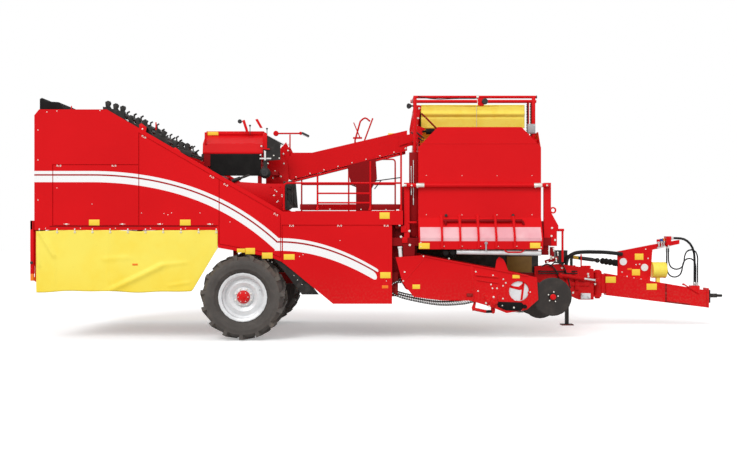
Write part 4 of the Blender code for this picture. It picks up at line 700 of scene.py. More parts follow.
def cloth_place(run):
    """Place, outward direction and side of the cloth at a distance along its top edge."""
    for (x0, y0), (x1, y1), side in zip(CLOTH_RUN, CLOTH_RUN[1:], ("right", "rear", "left")):
        length = math.hypot(x1 - x0, y1 - y0)
        if run <= length or side == "left":
            share = run / length
            along = Vector(((x1 - x0) / length, (y1 - y0) / length, 0.0))
            return (Vector((x0 + (x1 - x0) * share, y0 + (y1 - y0) * share, 0.0)),
                    Vector((-along.y, along.x, 0.0)), side, run)
        run -= length


def crease(x, z, start, end, width, height):
    """A soft fold along a line on the cloth: a ridge with a hollow under it."""
    (x0, z0), (x1, z1) = start, end
    long = math.hypot(x1 - x0, z1 - z0)
    ux, uz = (x1 - x0) / long, (z1 - z0) / long
    along = ((x - x0) * ux + (z - z0) * uz) / long
    off = ((x - x0) * -uz + (z - z0) * ux) / width
    ends = 1.0 if 0.0 <= along <= 1.0 else math.exp(-((abs(along - 0.5) - 0.5) * long / width) ** 2
                                                    * 0.35)
    return height * ends * math.exp(-off * off) * (1.0 - 1.1 * off)


# Folds on the right side: ends in X and Z, width and height
FOLDS = (((-5.37, 1.60), (-5.18, 1.28), 0.030, 0.016),
         ((-5.46, 1.58), (-5.39, 1.12), 0.024, 0.012),
         ((-4.27, 0.79), (-3.62, 1.10), 0.034, 0.019),
         ((-4.36, 0.745), (-3.58, 1.12), 0.060, 0.006),
         ((-5.155, 1.26), (-5.155, 0.76), 0.012, 0.004),
         ((-4.37, 1.60), (-4.37, 0.76), 0.012, 0.004),
         ((-3.62, 1.12), (-3.25, 1.16), 0.030, 0.006),
         ((-3.45, 0.82), (-3.20, 0.86), 0.024, 0.006),
         ((-4.40, 1.22), (-4.10, 1.24), 0.040, 0.005))


def slanted(foot, along, slant):
    """The cloth's foot at a distance from a front corner that is cut away at a slant."""
    length, top = slant
    return top - (top - foot) * along / length if along < length else foot


def tarp_place(share, up):
    """A point of the tarpaulin at a share of its length and of its height."""
    run = share * CLOTH_LENGTH
    place, out, side, local = cloth_place(run)
    foot = CLOTH_FOOT
    if side == "right":
        foot = slanted(foot, local, FRONT_SLANT)
    if side == "left":
        foot = slanted(foot, CLOTH_LENGTHS[2] - local, LEFT_SLANT)
    clip = 0.5 - 0.5 * math.cos(2 * math.pi * run / CLIP_STEP)
    top = CLOTH_TOP - 0.004 * clip
    hem = 0.010 * math.sin(run * 3.7 + 0.6) + 0.006 * math.sin(run * 9.1)
    z = foot + hem * (1.0 if foot < 0.75 else 0.3) + (top - foot) * up
    loose = min(1.0, (1.0 - up) * 3.0)
    billow = 0.010 * noise.noise(Vector((run * 1.3, z * 1.6, 4.0)))
    billow += 0.004 * noise.noise(Vector((run * 5.0, z * 2.2, 9.0)))
    push = billow * loose + 0.005 * clip * math.exp(-(1.0 - up) * 7.0)
    if side == "right":
        for start, end, width, height in FOLDS:
            push += crease(place.x, z, start, end, width, height * 1.25)
    else:
        push += 0.006 * math.sin(run * 11.0 + 1.5 * z) * loose
        push += crease(local, z, (0.35, 1.5), (0.75, 0.8), 0.035, 0.010)
        push += crease(local, z, (1.9, 0.85), (1.2, 1.25), 0.040, 0.010)
    corner = min(abs(run - CLOTH_LENGTHS[0]), abs(run - CLOTH_LENGTHS[0] - CLOTH_LENGTHS[1]))
    push = max(-0.022, min(0.026, push * min(1.0, corner / 0.06 + 0.15)))
    round_in = CORNER * max(0.0, 1.0 - corner / CORNER) ** 2 * 0.42
    point = place + out * (push - round_in) + Vector((0.0, 0.0, z))
    if corner < CORNER:
        point.x = max(point.x, CLOTH_RUN[1][0] - 0.022)
    return point


tarp = cloth("tarpaulin", 380, 44, tarp_place, "tarp_yellow", "machine", 0.0022)
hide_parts("tarp_skirt")

# Eyelets and the white clips that hold the cloth to the sheet above it
clips = Piece("tarp_clips", "white")
eyelets = Piece("tarp_eyelets", "zinc")
count = int(CLOTH_LENGTH / CLIP_STEP)
for index in range(count + 1):
    place, out, side, _ = cloth_place(0.020 + index * (CLOTH_LENGTH - 0.040) / count)
    clip = place + out * (0.0121 if side != "rear" else 0.0210) + Vector((0.0, 0.0, 1.636))
    along = Vector((out.y, -out.x, 0.0))
    low, high = -along * 0.008 - out * 0.004, along * 0.008 + out * 0.004
    low.z, high.z = -0.007, 0.022
    corners = [clip + low, clip + high]
    clips.block([min(a, b) for a, b in zip(*corners)], [max(a, b) for a, b in zip(*corners)],
                0.0025)
    ring = place + Vector((0.0, 0.0, CLOTH_TOP - 0.032))
    eyelets.turned(ring, out, [(0.008, 0.012), (0.015, 0.011), (0.017, 0.008), (0.008, 0.008),
                               (0.008, 0.012)], 14)
clips, eyelets = clips.done(), eyelets.done()

# Red-brown patch on the cloth
patch = Piece("tarp_patch", "orange")
spot = seen(135.0, 264.5, -1.496)
patch.block_at(spot, (-0.040, -0.004, -0.014), (0.040, 0.010, 0.014), 0.002)
patch.done()


# Rubber curtain under the hood

curtain_low, curtain_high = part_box("hood_curtain")
curtain_width = curtain_high[0] - curtain_low[0]


def curtain_place(along, up):
    """A point of the curtain at a share of its width and of its height."""
    wave = 0.004 * math.sin(along * 17.0) * (1.0 - up) + 0.003 * math.sin(along * 5.0 + 2.0)
    foot = curtain_low[2] + (0.075 * (1.0 - along / 0.22) if along < 0.22 else 0.0)
    return Vector((curtain_low[0] + curtain_width * along, curtain_low[1] + 0.004 + wave * 0.9,
                   foot + (curtain_high[2] - foot) * up))


curtain = cloth("curtain", 48, 20, curtain_place, "black_rubber", "machine", 0.004)
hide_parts("hood_curtain")


# Blank plates, each between two corners seen in the photograph

BUNKER_FACE = -1.6312
STAND_FACE = 0.6938
BEAM_FACE = 0.6098
STICKERS = (
    ("rear_a", 89.0, 219.6, 99.5, 225.4, PANEL_Y, "machine"),
    ("rear_b", 180.0, 219.6, 190.6, 225.4, PANEL_Y, "machine"),
    ("arch_a", 262.0, 252.6, 272.6, 258.6, PANEL_Y, "front_door"),
    ("arch_b", 283.8, 254.2, 294.6, 259.6, PANEL_Y, "lower_door"),
    ("edge_top", 379.6, 212.4, 389.6, 218.8, PANEL_Y, "machine"),
    ("edge_low", 380.2, 272.2, 390.6, 278.2, PANEL_Y, "lower_door"),
    ("bunker_left", 418.8, 243.0, 429.6, 248.8, BUNKER_FACE, "machine"),
    ("bunker_right", 530.0, 242.8, 540.4, 248.2, BUNKER_FACE, "machine"),
    ("hood", 207.7, 131.6, 218.3, 135.2, -0.6705, "machine"),
    ("elevator", 388.0, 133.2, 396.4, 140.8, -0.5845, "machine"),
    ("arch_c", 237.0, 248.6, 245.0, 252.6, PANEL_Y, "front_door"),
    ("arch_d", 245.4, 248.0, 255.0, 254.2, PANEL_Y, "front_door"),
    ("trough_rear", 412.5, 284.5, 420.0, 288.9, PANEL_Y, "intake"),
    ("trough_front", 512.5, 274.9, 519.7, 278.3, PANEL_Y, "intake"),
    ("stand_top", 634.8, 253.6, 643.4, 259.8, STAND_FACE, "drawbar_body"),
    ("stand_low", 632.0, 269.2, 640.0, 275.4, STAND_FACE, "drawbar_body"),
    ("beam_rear", 605.6, 276.6, 615.8, 282.8, BEAM_FACE, "drawbar_body"),
    ("beam_front", 646.6, 283.6, 656.8, 289.8, BEAM_FACE, "drawbar_body"),
    ("edge_amber", 382.0, 285.4, 388.2, 288.3, PANEL_Y, "lower_door"),
    ("stand_amber", 627.4, 268.2, 631.8, 270.0, STAND_FACE, "drawbar_body"),
)
for name, px0, py0, px1, py1, y, body in STICKERS:
    a, b = at(y, ((px0, py0), (px1, py1)))
    flat = Piece(f"plate_{name}", "orange" if name.endswith("amber") else "label", body)
    flat.block((a.x, y - 0.0022, b.z), (b.x, y, a.z), 0.0008)
    flat.done()


# Hinges, catches and bolts of the right side

# A hinge's pixel and the slope of the edge it is on, in degrees
HINGES = {
    "rear_door": [(59.0, 165.5, 0.0), (114.0, 165.5, 0.0)],
    "mid_door": [(144.0, 136.6, 30.0), (212.0, 176.6, 30.0)],
    "front_door": [(226.0, 184.6, 30.0), (276.0, 214.2, 30.0)],
    "lower_door": [(291.5, 225.5, 0.0), (339.6, 225.5, 0.0), (386.2, 225.5, 0.0)],
}
for body, places in HINGES.items():
    hinges = Piece(f"{body}_hinges", "zinc", body)
    leaves = Piece(f"{body}_hinge_leaves", "red", body)
    for px, py, slope in places:
        middle = seen(px, py, PANEL_Y)
        turn = Matrix.Rotation(math.radians(slope), 3, "Y")
        along, up = turn @ Vector((1, 0, 0)), turn @ Vector((0, 0, 1))
        middle = middle - up * 0.010
        for reach in (-0.034, 0.012):
            hinges.rod(middle + along * reach + up * 0.012,
                       middle + along * (reach + 0.022) + up * 0.012, 0.0062, 10, 0.001)
        leaves.block_at(middle, (-0.040, -0.003, -0.012), (0.040, 0.0, 0.010), 0.001,
                        math.radians(slope))
        hinges.bolts([middle + along * t + up * -0.002 + Vector((0, -0.003, 0))
                      for t in (-0.026, 0.0, 0.026)], 0.0052)
    hinges.done()
    leaves.done()

catches = {"rear_door": (66.6, 122.5), "mid_door": (160.0, 210.0)}
for body, places in catches.items():
    latch = Piece(f"{body}_catches", "zinc", body)
    for px in places:
        middle = seen(px, 221.8, PANEL_Y)
        middle.z = 1.722
        latch.block_at(middle, (-0.010, -0.004, -0.010), (0.014, 0, 0.010), 0.001)
        latch.rod_at(middle, (-0.015, -0.004, 0), (-0.015, -0.014, 0), 0.009, 12, 0.002)
        latch.bolts([middle + Vector((t, -0.004, 0)) for t in (-0.036, 0.036)], 0.0045)
    latch.done()

panel_bolts = Piece("side_panel_bolts", "zinc")
panel_bolts.bolts(at(PANEL_Y, (
    (57.0, 111.0), (100.0, 110.5), (275.0, 190.0), (273.5, 195.5), (282.0, 196.5),
    (277.0, 202.0), (299.0, 209.0), (330.0, 209.2), (361.0, 209.4), (386.0, 209.6),
    (47.0, 112.0), (38.0, 130.0), (38.0, 160.0), (38.0, 200.0))), 0.0065)
panel_bolts.bolts([Vector((-5.30 + 0.52 * i, ON_PANEL, 1.660)) for i in range(5)], 0.0055)
panel_bolts.done()
door_screws = {
    "rear_door": ((57.0, 188.0), (92.0, 204.0), (57.5, 177.5)),
    "mid_door": ((141.5, 213.0), (164.0, 213.4), (168.0, 214.8), (171.5, 212.8),
                 (200.0, 213.0)),
    "front_door": ((230.0, 222.0), (272.0, 262.0), (268.0, 260.0)),
    "lower_door": ((299.5, 256.5), (303.0, 254.8), (386.5, 281.0), (340.0, 240.5),
                   (294.0, 275.5), (297.5, 280.0), (302.0, 284.5)),
}
for body, spots in door_screws.items():
    Piece(f"{body}_screws", "zinc", body).bolts(at(PANEL_Y, spots), 0.0050).done()


# Wheels

def spoke(degrees):
    """Direction from the axle, at an angle that rises from the front."""
    return Vector((math.cos(math.radians(degrees)), 0.0, math.sin(math.radians(degrees))))


for name, out in (("right", Vector((0, -1, 0))), ("left", Vector((0, 1, 0)))):
    body = f"wheel_{name}"
    centre = Vector((WHEEL_X, *WHEELS[name]))
    nuts = Piece(f"wheel_{name}_nuts", "zinc", body)
    for step in range(8):
        foot = centre + spoke(22.5 + 45.0 * step) * 0.1225 + out * 0.1402
        nuts.rod(foot, foot + out * 0.006, 0.0155, 14, 0.002)
        nuts.rod(foot + out * 0.005, foot + out * 0.021, 0.0125, 6, 0.002)
        nuts.rod(foot + out * 0.020, foot + out * 0.029, 0.0075, 10, 0.001)
    for step in range(6):
        foot = centre + spoke(60.0 * step) * 0.072 + out * 0.192
        nuts.rod(foot, foot + out * 0.008, 0.0075, 6, 0.001)
    nuts.done()
    cap = Piece(f"wheel_{name}_cap", "red", body)
    cap.turned(centre + out * 0.2052, out, [(0.0, 0.0), (0.040, 0.0), (0.041, 0.006),
                                            (0.034, 0.012), (0.0, 0.014)], 20)
    cap.done()
    valve = Piece(f"wheel_{name}_valve", "black", body)
    lean = Vector((math.cos(0.4), 0.0, math.sin(0.4)))
    root = centre + lean * 0.262 + out * 0.130
    valve.rod(root, root + out * 0.045 + lean * 0.006, 0.0050, 10, 0.001)
    valve.rod(root + out * 0.044 + lean * 0.006, root + out * 0.058 + lean * 0.008, 0.0062, 10,
              0.001)
    valve.done()


# Haulm strippers: clamps, springs and end plates of the comb rows

for index, (x, z) in enumerate(((-4.430, 3.575), (-4.088, 3.359), (-3.801, 3.186),
                                (-3.417, 2.981))):
    clamps = Piece(f"stripper_clamps_{index + 1}", "zinc")
    springs = Piece(f"stripper_springs_{index + 1}", "black_steel")
    for row in range(3):
        rx, rz = x + 0.112 * row, z - 0.036 * row - 0.085
        for finger_y in (-1.30, -0.10, 1.10):
            clamps.block((rx - 0.016, finger_y - 0.026, rz - 0.062), (rx + 0.020, finger_y - 0.018,
                                                                     rz - 0.024), 0.002)
            clamps.bolts([(rx + 0.002, finger_y - 0.026, rz - 0.043)], 0.0065)
        springs.turned((rx + 0.034, -1.335, rz - 0.060), (0, -1, 0),
                       [(0.0, 0.0), (0.021, 0.0), (0.021, 0.010), (0.016, 0.014),
                        (0.021, 0.018), (0.021, 0.028), (0.016, 0.032), (0.010, 0.036),
                        (0.0, 0.036)], 14)
    clamps.done()
    springs.done()

COMB_Y = -1.40
combs = Piece("stripper_combs", "black_steel")
for px, py in ((107.7, 101.2), (115.5, 103.7), (122.5, 106.0), (130.4, 115.5), (138.0, 117.7),
               (144.5, 119.8), (149.5, 127.0), (157.5, 128.8), (163.5, 130.8), (175.0, 140.6),
               (181.5, 142.0), (187.0, 143.4)):
    tooth = cut(COMB_Y, [(px + u, py + v) for u, v in
                         ((-2.4, 0.8), (0.6, -0.6), (2.6, 1.0), (2.2, 3.2), (1.4, 4.2),
                          (4.6, 10.5), (3.4, 13.0), (-0.6, 11.5), (-2.0, 5.0))])
    for depth in (-1.400, -1.340):
        combs.plate(tooth, depth - 0.012, depth + 0.012, 0.003)
for px0, py0, px1, py1 in ((108.0, 112.5, 128.0, 121.5), (130.0, 126.0, 150.0, 134.5),
                           (150.0, 138.0, 172.0, 147.5), (174.0, 150.0, 202.0, 157.5)):
    a, b = at(COMB_Y, ((px0, py0), (px1, py1)))
    for lift in (0.0, -0.030):
        combs.rod(a + Vector((0, -0.030, lift)), b + Vector((0, -0.030, lift)), 0.011, 8)
combs.done()
lugs = Piece("stripper_lugs", "red")
for px, py in ((142.5, 128.5), (176.5, 152.5)):
    foot = seen(px, py, -1.478)
    lugs.plate([(foot.x - 0.045, foot.z - 0.050), (foot.x - 0.050, foot.z + 0.060),
                (foot.x - 0.015, foot.z + 0.078), (foot.x + 0.060, foot.z + 0.020),
                (foot.x + 0.050, foot.z - 0.075)], -1.486, -1.472, 0.003)
foot = seen(156.0, 130.0, -1.478)
lugs.rod_at(foot, (0.0, 0.0, 0.0), (0.0, 0.0, 0.115), 0.010, 10, 0.002)
foot = seen(71.5, 109.6, -1.478)
lugs.rod_at(foot, (0.0, 0.0, 0.0), (0.0, 0.0, 0.055), 0.008, 10, 0.002)
lugs.done()
Piece("stripper_lug_bolts", "zinc").bolts([seen(142.5, 129.0, -1.486), seen(176.5, 152.8, -1.486)],
                                          0.009).done()


# Transfer hood: folds, lamp, posts, drive, the boot under it, the tray and the mirror

HOOD_Y = -0.80
hood = Piece("hood_trim", "red")
for px0, py0, px1, py1 in ((243.5, 120.5, 247.0, 132.5), (256.5, 119.5, 261.0, 128.0)):
    top, foot = at(HOOD_Y, ((px0, py0), (px1, py1)))
    hood.plate([(top.x - 0.020, top.z), (top.x + 0.020, top.z + 0.010),
                (foot.x + 0.028, foot.z), (foot.x - 0.014, foot.z)], -0.808, -0.796, 0.003)
post = seen(205.6, 125.6, -0.93)
hood.block((post.x - 0.014, -0.945, 2.960), (post.x + 0.016, -0.930, 3.142), 0.003)
hood.rod(seen(240.0, 121.5, HOOD_Y), seen(243.6, 121.6, HOOD_Y), 0.007, 8)
# Ridge on top of the hood, and the folded edge along its foot
hood.block((-3.050, -0.6700, 3.1300), (-2.140, -0.5800, 3.1860), 0.010)
hood.block((-3.056, -0.957, 2.812), (-2.134, -0.9505, 2.842), 0.002)
hood.plate([(-2.128, 2.950), (-2.128, 3.110), (-2.090, 3.138), (-2.062, 3.112), (-2.062, 2.900),
            (-2.092, 2.872)], -0.992, -0.977, 0.003)
hood.block((-2.150, -1.012, 2.872), (-2.020, -0.992, 2.892), 0.003, 0.10)
hood.done()
lamp_head = Piece("hood_lamp", "black")
middle = seen(240.0, 121.6, HOOD_Y)
lamp_head.turned(middle + Vector((0, 0.030, 0)), (0, -1, 0),
                 [(0.0, 0.0), (0.022, 0.0), (0.030, 0.020), (0.033, 0.058), (0.028, 0.066),
                  (0.0, 0.068)], 20)
for px, py in ((250.0, 127.0), (267.0, 130.2)):
    knob = seen(px, py, HOOD_Y)
    lamp_head.turned(knob + Vector((0, 0, 0.022)), (0, 0, -1),
                     [(0.0, -0.014), (0.016, -0.012), (0.018, 0.0), (0.010, 0.008),
                      (0.007, 0.022), (0.0, 0.022)], 14)
    lamp_head.rod(knob, Vector((knob.x, knob.y, 3.120 if px < 260 else 3.060)), 0.006, 8)
lamp_head.done()

drive = Piece("hood_drive_trim", "white")
drive.block(seen(264.2, 160.4, -1.000) + Vector((0, -0.008, 0)),
            seen(266.0, 151.0, -1.000) + Vector((0, 0.002, 0)), 0.002)
drive.block(seen(259.6, 159.2, -0.990), seen(271.2, 157.8, -0.990) + Vector((0, 0.012, 0)), 0.002)
drive.bolts([seen(260.6, 155.0, -0.984), seen(261.4, 146.2, -0.984), seen(262.0, 170.8, -0.980)],
            0.011)
drive.done()
motor = Piece("hood_motor_cap", "black")
motor.turned((-2.090, -1.0602, 2.510), (0, -1, 0),
             [(0.0, 0.0), (0.060, 0.0), (0.062, 0.012), (0.050, 0.020), (0.020, 0.020),
              (0.016, 0.028), (0.0, 0.028)], 24)
motor.done()
guard = Piece("hood_drive_bolts", "zinc")
guard.bolts([(-2.105, -0.9756, 3.060), (-1.845, -0.9756, 2.940), (-1.875, -0.9756, 2.740),
             (-2.050, -0.9756, 2.660), (-2.105, -0.9756, 2.850), (-1.960, -0.9756, 2.780)], 0.0085)
guard.done()
boot = Piece("boot_sheets", "red")
boot.plate([(-2.660, 2.260), (-2.650, 2.385), (-2.220, 2.358), (-2.040, 2.345), (-1.785, 2.345),
            (-1.785, 1.930), (-2.030, 1.950)], -1.012, -1.000, 0.003)
boot.block((-2.640, -1.001, 2.338), (-1.790, -0.930, 2.348), 0.003)
boot.plate([(-2.115, 2.300), (-2.115, 2.640), (-2.044, 2.744), (-1.848, 2.768), (-1.777, 2.690),
            (-1.753, 2.430), (-1.785, 2.345), (-1.785, 2.300)], -0.6520, -0.6405, 0.003)
for x, z in ((-2.00, 2.30), (-1.86, 2.30), (-2.00, 2.18), (-1.90, 2.10)):
    boot.rod((x, -1.020, z), (x, -1.010, z), 0.012, 12, 0.002)
boot.done()
boot_bolts = Piece("boot_bolts", "zinc")
boot_bolts.bolts(at(-0.652, ((275.0, 171.0), (281.0, 176.4), (273.0, 178.0), (284.0, 163.5))),
                 0.010)
boot_bolts.bolts(at(-1.012, ((276.6, 191.6), (274.2, 195.4), (282.0, 195.0), (278.0, 201.0))),
                 0.009)
boot_bolts.done()
strut_under = Piece("hood_strut", "black_steel")
a, b = at(-1.02, ((232.0, 181.2), (240.5, 178.2)))
c = seen(249.5, 174.8, -1.02)
strut_under.rod(a, b, 0.030, 16, 0.004)
strut_under.rod(b, c, 0.018, 14, 0.002)
strut_under.done()
# Fins on the tray's sloping edge
fins = Piece("hood_tray_fins", "white")
top, foot = Vector((-2.050, -0.955, 3.086)), Vector((-1.815, -0.955, 2.962))
for index in range(13):
    fins.block_at(top.lerp(foot, index / 12), (-0.005, -0.018, -0.004), (0.005, 0.010, 0.010),
                  0.001)
fins.done()

MIRROR_Y = -0.62
arm = Piece("mirror_arm", "red")
root, tip = at(MIRROR_Y, ((276.0, 133.5), (301.0, 133.4)))
arm.rod(root, tip, 0.0125, 12, 0.002)
arm.turned(root + Vector((0, 0.022, 0)), (0, -1, 0),
           [(0.0, 0.0), (0.040, 0.0), (0.042, 0.006), (0.042, 0.038), (0.034, 0.044),
            (0.0, 0.044)], 20)
stem = seen(290.0, 134.5, MIRROR_Y)
arm.rod(stem, Vector((stem.x, stem.y, 2.880)), 0.011, 12, 0.001)
arm.rod(Vector((stem.x, stem.y, 2.885)), Vector((stem.x, -0.590, 2.800)), 0.011, 12, 0.001)
arm.rod_at(tip, (-0.004, 0.014, 0), (-0.004, -0.018, 0), 0.026, 18, 0.003)
arm.done()
mirror = Piece("mirror_head", "black")
head = seen(305.5, 134.4, MIRROR_Y)
mirror.block_at(head, (-0.062, -0.050, -0.022), (0.062, 0.050, 0.012), 0.008, math.radians(26.0))
mirror.done()
glass = Piece("mirror_glass", "lamp_clear")
glass.block_at(head, (-0.056, -0.044, -0.030), (0.050, 0.044, -0.020), 0.003, math.radians(26.0))
glass.done()


# Filling elevator: bolts along its lower flange, the head with its stay, and the roller

FLANGE_FACE = -0.6242        # outer face of the elevator's lower flange
flange = Piece("elevator_bolts", "zinc")
row = [seen(px, 180.0 - (px - 290.0) * 0.2514 - 1.6, -0.6245) for px in range(296, 395, 14)]
flange.bolts([(p.x, FLANGE_FACE, p.z) for p in row], 0.0075)
flange.bolts(at(FLANGE_FACE, (
    (276.5, 168.5), (280.6, 172.0), (274.0, 192.0), (283.4, 153.8), (288.6, 144.5),
    (288.0, 150.6), (405.6, 148.4), (415.6, 135.6), (416.6, 142.3))), 0.011)
flange.bolts([seen(419.1, 108.4, -0.6085)], 0.013)
flange.done()
scraper = Piece("elevator_edge", "red")
a, b = at(-0.6245, ((290.5, 181.0), (399.0, 153.8)))
scraper.plate(strip(a, b, 0.028), -0.6390, -0.6260, 0.003)
a, b = at(-0.6245, ((273.8, 167.4), (283.6, 185.0)))
scraper.rod(a, b, 0.013, 10, 0.002)
scraper.done()
HEAD_BODY = "elevator_head_body"
slots = Piece("head_slots", "black", HEAD_BODY)
for px0, py0, px1, py1 in ((411.0, 132.2, 422.6, 140.8), (414.0, 130.2, 424.2, 138.6)):
    a, b = at(-0.6095, ((px0, py0), (px1, py1)))
    slots.rod(a, b, 0.010, 10, 0.002)
slots.done()
strut = Piece("head_stay", "dark_red", HEAD_BODY)
a, b = at(-0.6160, ((421.3, 113.4), (425.5, 117.4)))
strut.rod(a, b, 0.014, 12, 0.002)
strut.done()
Piece("head_bosses", "zinc", HEAD_BODY).bolts([seen(419.1, 108.4, -0.6085),
                                               seen(418.0, 118.2, -0.6085)], 0.012).done()
stay = Piece("bunker_stay", "dark_red")
a, b = seen(425.8, 117.6, -0.615), seen(437.0, 129.0, -0.640)
stay.rod(a, b, 0.014, 12, 0.002)
stay.done()
roller = Piece("bunker_roller", "black_rubber", HEAD_BODY)
a, b = at(-0.60, ((426.0, 131.5), (434.6, 131.5)))
roller.rod(a, b, 0.044, 20, 0.006)
roller.rod(a, a - Vector((0.060, 0.0, 0.0)), 0.016, 14, 0.002)
roller.done()


# Hand levers and mechanism at the sorting stand

levers = Piece("stand_levers", "black_steel")
for x0, y0, x1, y1 in ((375.0, 181.0, 401.0, 177.5), (381.0, 180.5, 374.5, 189.0)):
    levers.rod(seen(x0, y0, -0.67), seen(x1, y1, -0.67), 0.008, 10, 0.001)
for px in (286.0, 292.0):
    levers.rod(seen(px, 182.0, -1.38), seen(px + 0.6, 208.0, -1.38), 0.020, 12, 0.003)
levers.plate(cut(-1.36, ((283.5, 208.0), (283.5, 181.0), (296.0, 184.0), (298.0, 208.0))),
             -1.366, -1.358, 0.002)
levers.turned(seen(287.6, 205.0, -1.38) + Vector((0, 0.03, 0)), (0, -1, 0),
              [(0.0, 0.0), (0.075, 0.0), (0.078, 0.014), (0.070, 0.044), (0.030, 0.050),
               (0.0, 0.050)], 24)
for px, py in ((286.4, 190.0), (291.6, 188.0), (290.0, 200.5), (294.4, 202.0)):
    knob = seen(px, py, -1.41)
    levers.rod_at(knob, (0.0, 0.0, 0.0), (0.030, 0.0, -0.060), 0.010, 10, 0.002)
levers.turned(seen(290.5, 185.0, -1.40) + Vector((0, 0.03, 0)), (0, -1, 0),
              [(0.0, 0.0), (0.060, 0.0), (0.062, 0.010), (0.062, 0.030), (0.030, 0.036),
               (0.028, 0.046), (0.0, 0.046)], 24)
levers.done()
boards = Piece("kick_boards", "dark_red")
a, b = at(-1.440, ((373.0, 209.4), (400.6, 204.2)))
boards.block((a.x, -1.446, a.z), (b.x, -1.434, b.z), 0.003)
a, b = at(-1.440, ((300.0, 209.4), (318.0, 204.2)))
boards.block((a.x, -1.446, a.z), (b.x, -1.434, b.z), 0.003)
boards.done()
gussets = Piece("rail_gussets", "red")
for x in (-1.26, -0.475, -0.018):
    gussets.plate([(x - 0.034, 1.927), (x + 0.014, 1.927), (x + 0.014, 1.990), (x - 0.010, 1.990)],
                  -1.4990, -1.4700, 0.003)
gussets.done()


# Unloader: cleats across the belt, the toothed edge belts beside it and the apron

PIVOT, TIP, BELT_R = (1.50, 2.98), (0.420, 3.640), 0.075


def on_belt(run):
    """Place in Y and Z and outward direction at a distance round the unloader's belt."""
    along = Vector((TIP[0] - PIVOT[0], TIP[1] - PIVOT[1]))
    straight = along.length
    along.normalize()
    normal = Vector((along.y, -along.x))
    turn = math.pi * BELT_R
    run %= 2 * (straight + turn)
    if run < straight:
        return Vector(PIVOT) + along * run + normal * BELT_R, normal
    run -= straight
    if run < turn:
        angle = run / BELT_R
        out = normal * math.cos(angle) + along * math.sin(angle)
        return Vector(TIP) + out * BELT_R, out
    run -= turn
    if run < straight:
        return Vector(TIP) - along * run - normal * BELT_R, -normal
    angle = (run - straight) / BELT_R
    out = normal * -math.cos(angle) - along * math.sin(angle)
    return Vector(PIVOT) + out * BELT_R, out


unloader_low, unloader_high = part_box("unloader_belt")
cleats = Piece("unloader_cleats", "belt_yellow", "unloader")
teeth = Piece("unloader_chain", "black_rubber", "unloader")
loop = 2 * (math.dist(PIVOT, TIP) + math.pi * BELT_R)
for index in range(12):
    (y, z), out = on_belt(1.205 + loop * index / 12)
    cleats.rod((unloader_low[0] + 0.03, y, z), (unloader_high[0] - 0.10, y, z), 0.0165, 12, 0.004)
for index in range(72):
    (y, z), out = on_belt(loop * index / 72)
    for x in (unloader_high[0] - 0.062, unloader_high[0] - 0.018, unloader_low[0] + 0.010):
        teeth.rod((x - 0.016, y + out.x * 0.004, z + out.y * 0.004),
                  (x + 0.016, y + out.x * 0.004, z + out.y * 0.004), 0.0125, 6)
cleats.done()
teeth.done()


def apron_place(along, up):
    """A point of the apron at a share of its width and of its height."""
    z = 3.335 + 0.378 * up
    swell = 0.030 * math.exp(-((z - 3.572) / 0.034) ** 2) + 0.006 * math.sin(along * 9.0)
    swell -= 0.012 * math.exp(-((z - 3.520) / 0.012) ** 2)
    return Vector((0.372 + 1.728 * along, 0.326 - swell * 0.9, z))


apron = cloth("unloader_apron", 60, 30, apron_place, "belt_yellow", "unloader", 0.003)
apron_bar = Piece("unloader_apron_bar", "belt_yellow", "unloader")
apron_bar.rod((0.372, 0.322, 3.716), (2.100, 0.322, 3.716), 0.010, 12, 0.002)
apron_bar = apron_bar.done()

# Chain strips that hang beside the apron from the far tube
strips = Piece("bunker_chain_strips", "black_rubber")
backs = Piece("bunker_strip_backs", "red")
for x in (2.072, 2.130):
    backs.block((x - 0.006, -0.140, 3.150), (x + 0.030, -0.128, 3.712), 0.003)
    for index in range(20):
        z = 3.665 - 0.026 * index
        strips.block((x - 0.018, -0.158, z - 0.008), (x + 0.012, -0.1405, z + 0.008), 0.003)
strips.done()
backs.done()


# Frame over the bunker: camera, lamp, clamps and cables

NEAR_TUBE, FAR_TUBE = (-1.20, 3.650), (-0.15, 3.720)     # Y and Z of the two long tubes
top_frame = Piece("bunker_frame_tubes", "red")
top_frame.rod((0.176, *NEAR_TUBE), (2.036, *NEAR_TUBE), 0.0220, 16, 0.004)
top_frame.rod((0.176, *FAR_TUBE), (2.215, *FAR_TUBE), 0.0270, 16, 0.004)
top_frame.rod((0.200, -1.20, 2.300), (0.200, *NEAR_TUBE), 0.0280, 16, 0.004)
top_frame.rod((1.998, -1.20, 2.960), (1.998, *NEAR_TUBE), 0.0280, 16, 0.004)
top_frame.rod((0.200, *NEAR_TUBE), (0.200, *FAR_TUBE), 0.0180, 14)
top_frame.rod((1.998, *NEAR_TUBE), (2.180, *FAR_TUBE), 0.0180, 14)
top_frame.rod((2.180, *FAR_TUBE), (2.180, -0.15, 3.060), 0.0200, 14)
top_frame.rod((2.180, -0.15, 3.064), (2.075, -0.15, 3.010), 0.0200, 14, 0.003)
top_frame.block((0.160, -1.350, 2.282), (0.240, -1.180, 2.318), 0.004)
top_frame.block((1.990, -1.226, 2.950), (2.058, -1.174, 3.010), 0.004)
top_frame = top_frame.done()
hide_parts("bunker_top_frame")
Piece("bunker_tube_cap", "black").rod((2.038, *NEAR_TUBE), (2.050, *NEAR_TUBE), 0.024, 16,
                                      0.003).done()
rig = Piece("bunker_camera", "black")
eye = seen(484.9, 101.3, -1.262)
rig.turned(eye + Vector((0, 0.045, 0)), (0, -1, 0),
           [(0.0, 0.0), (0.030, 0.0), (0.044, 0.012), (0.047, 0.040), (0.040, 0.052),
            (0.030, 0.054), (0.028, 0.046), (0.0, 0.046)], 24)
rig.done()
bracket = Piece("bunker_camera_bracket", "red")
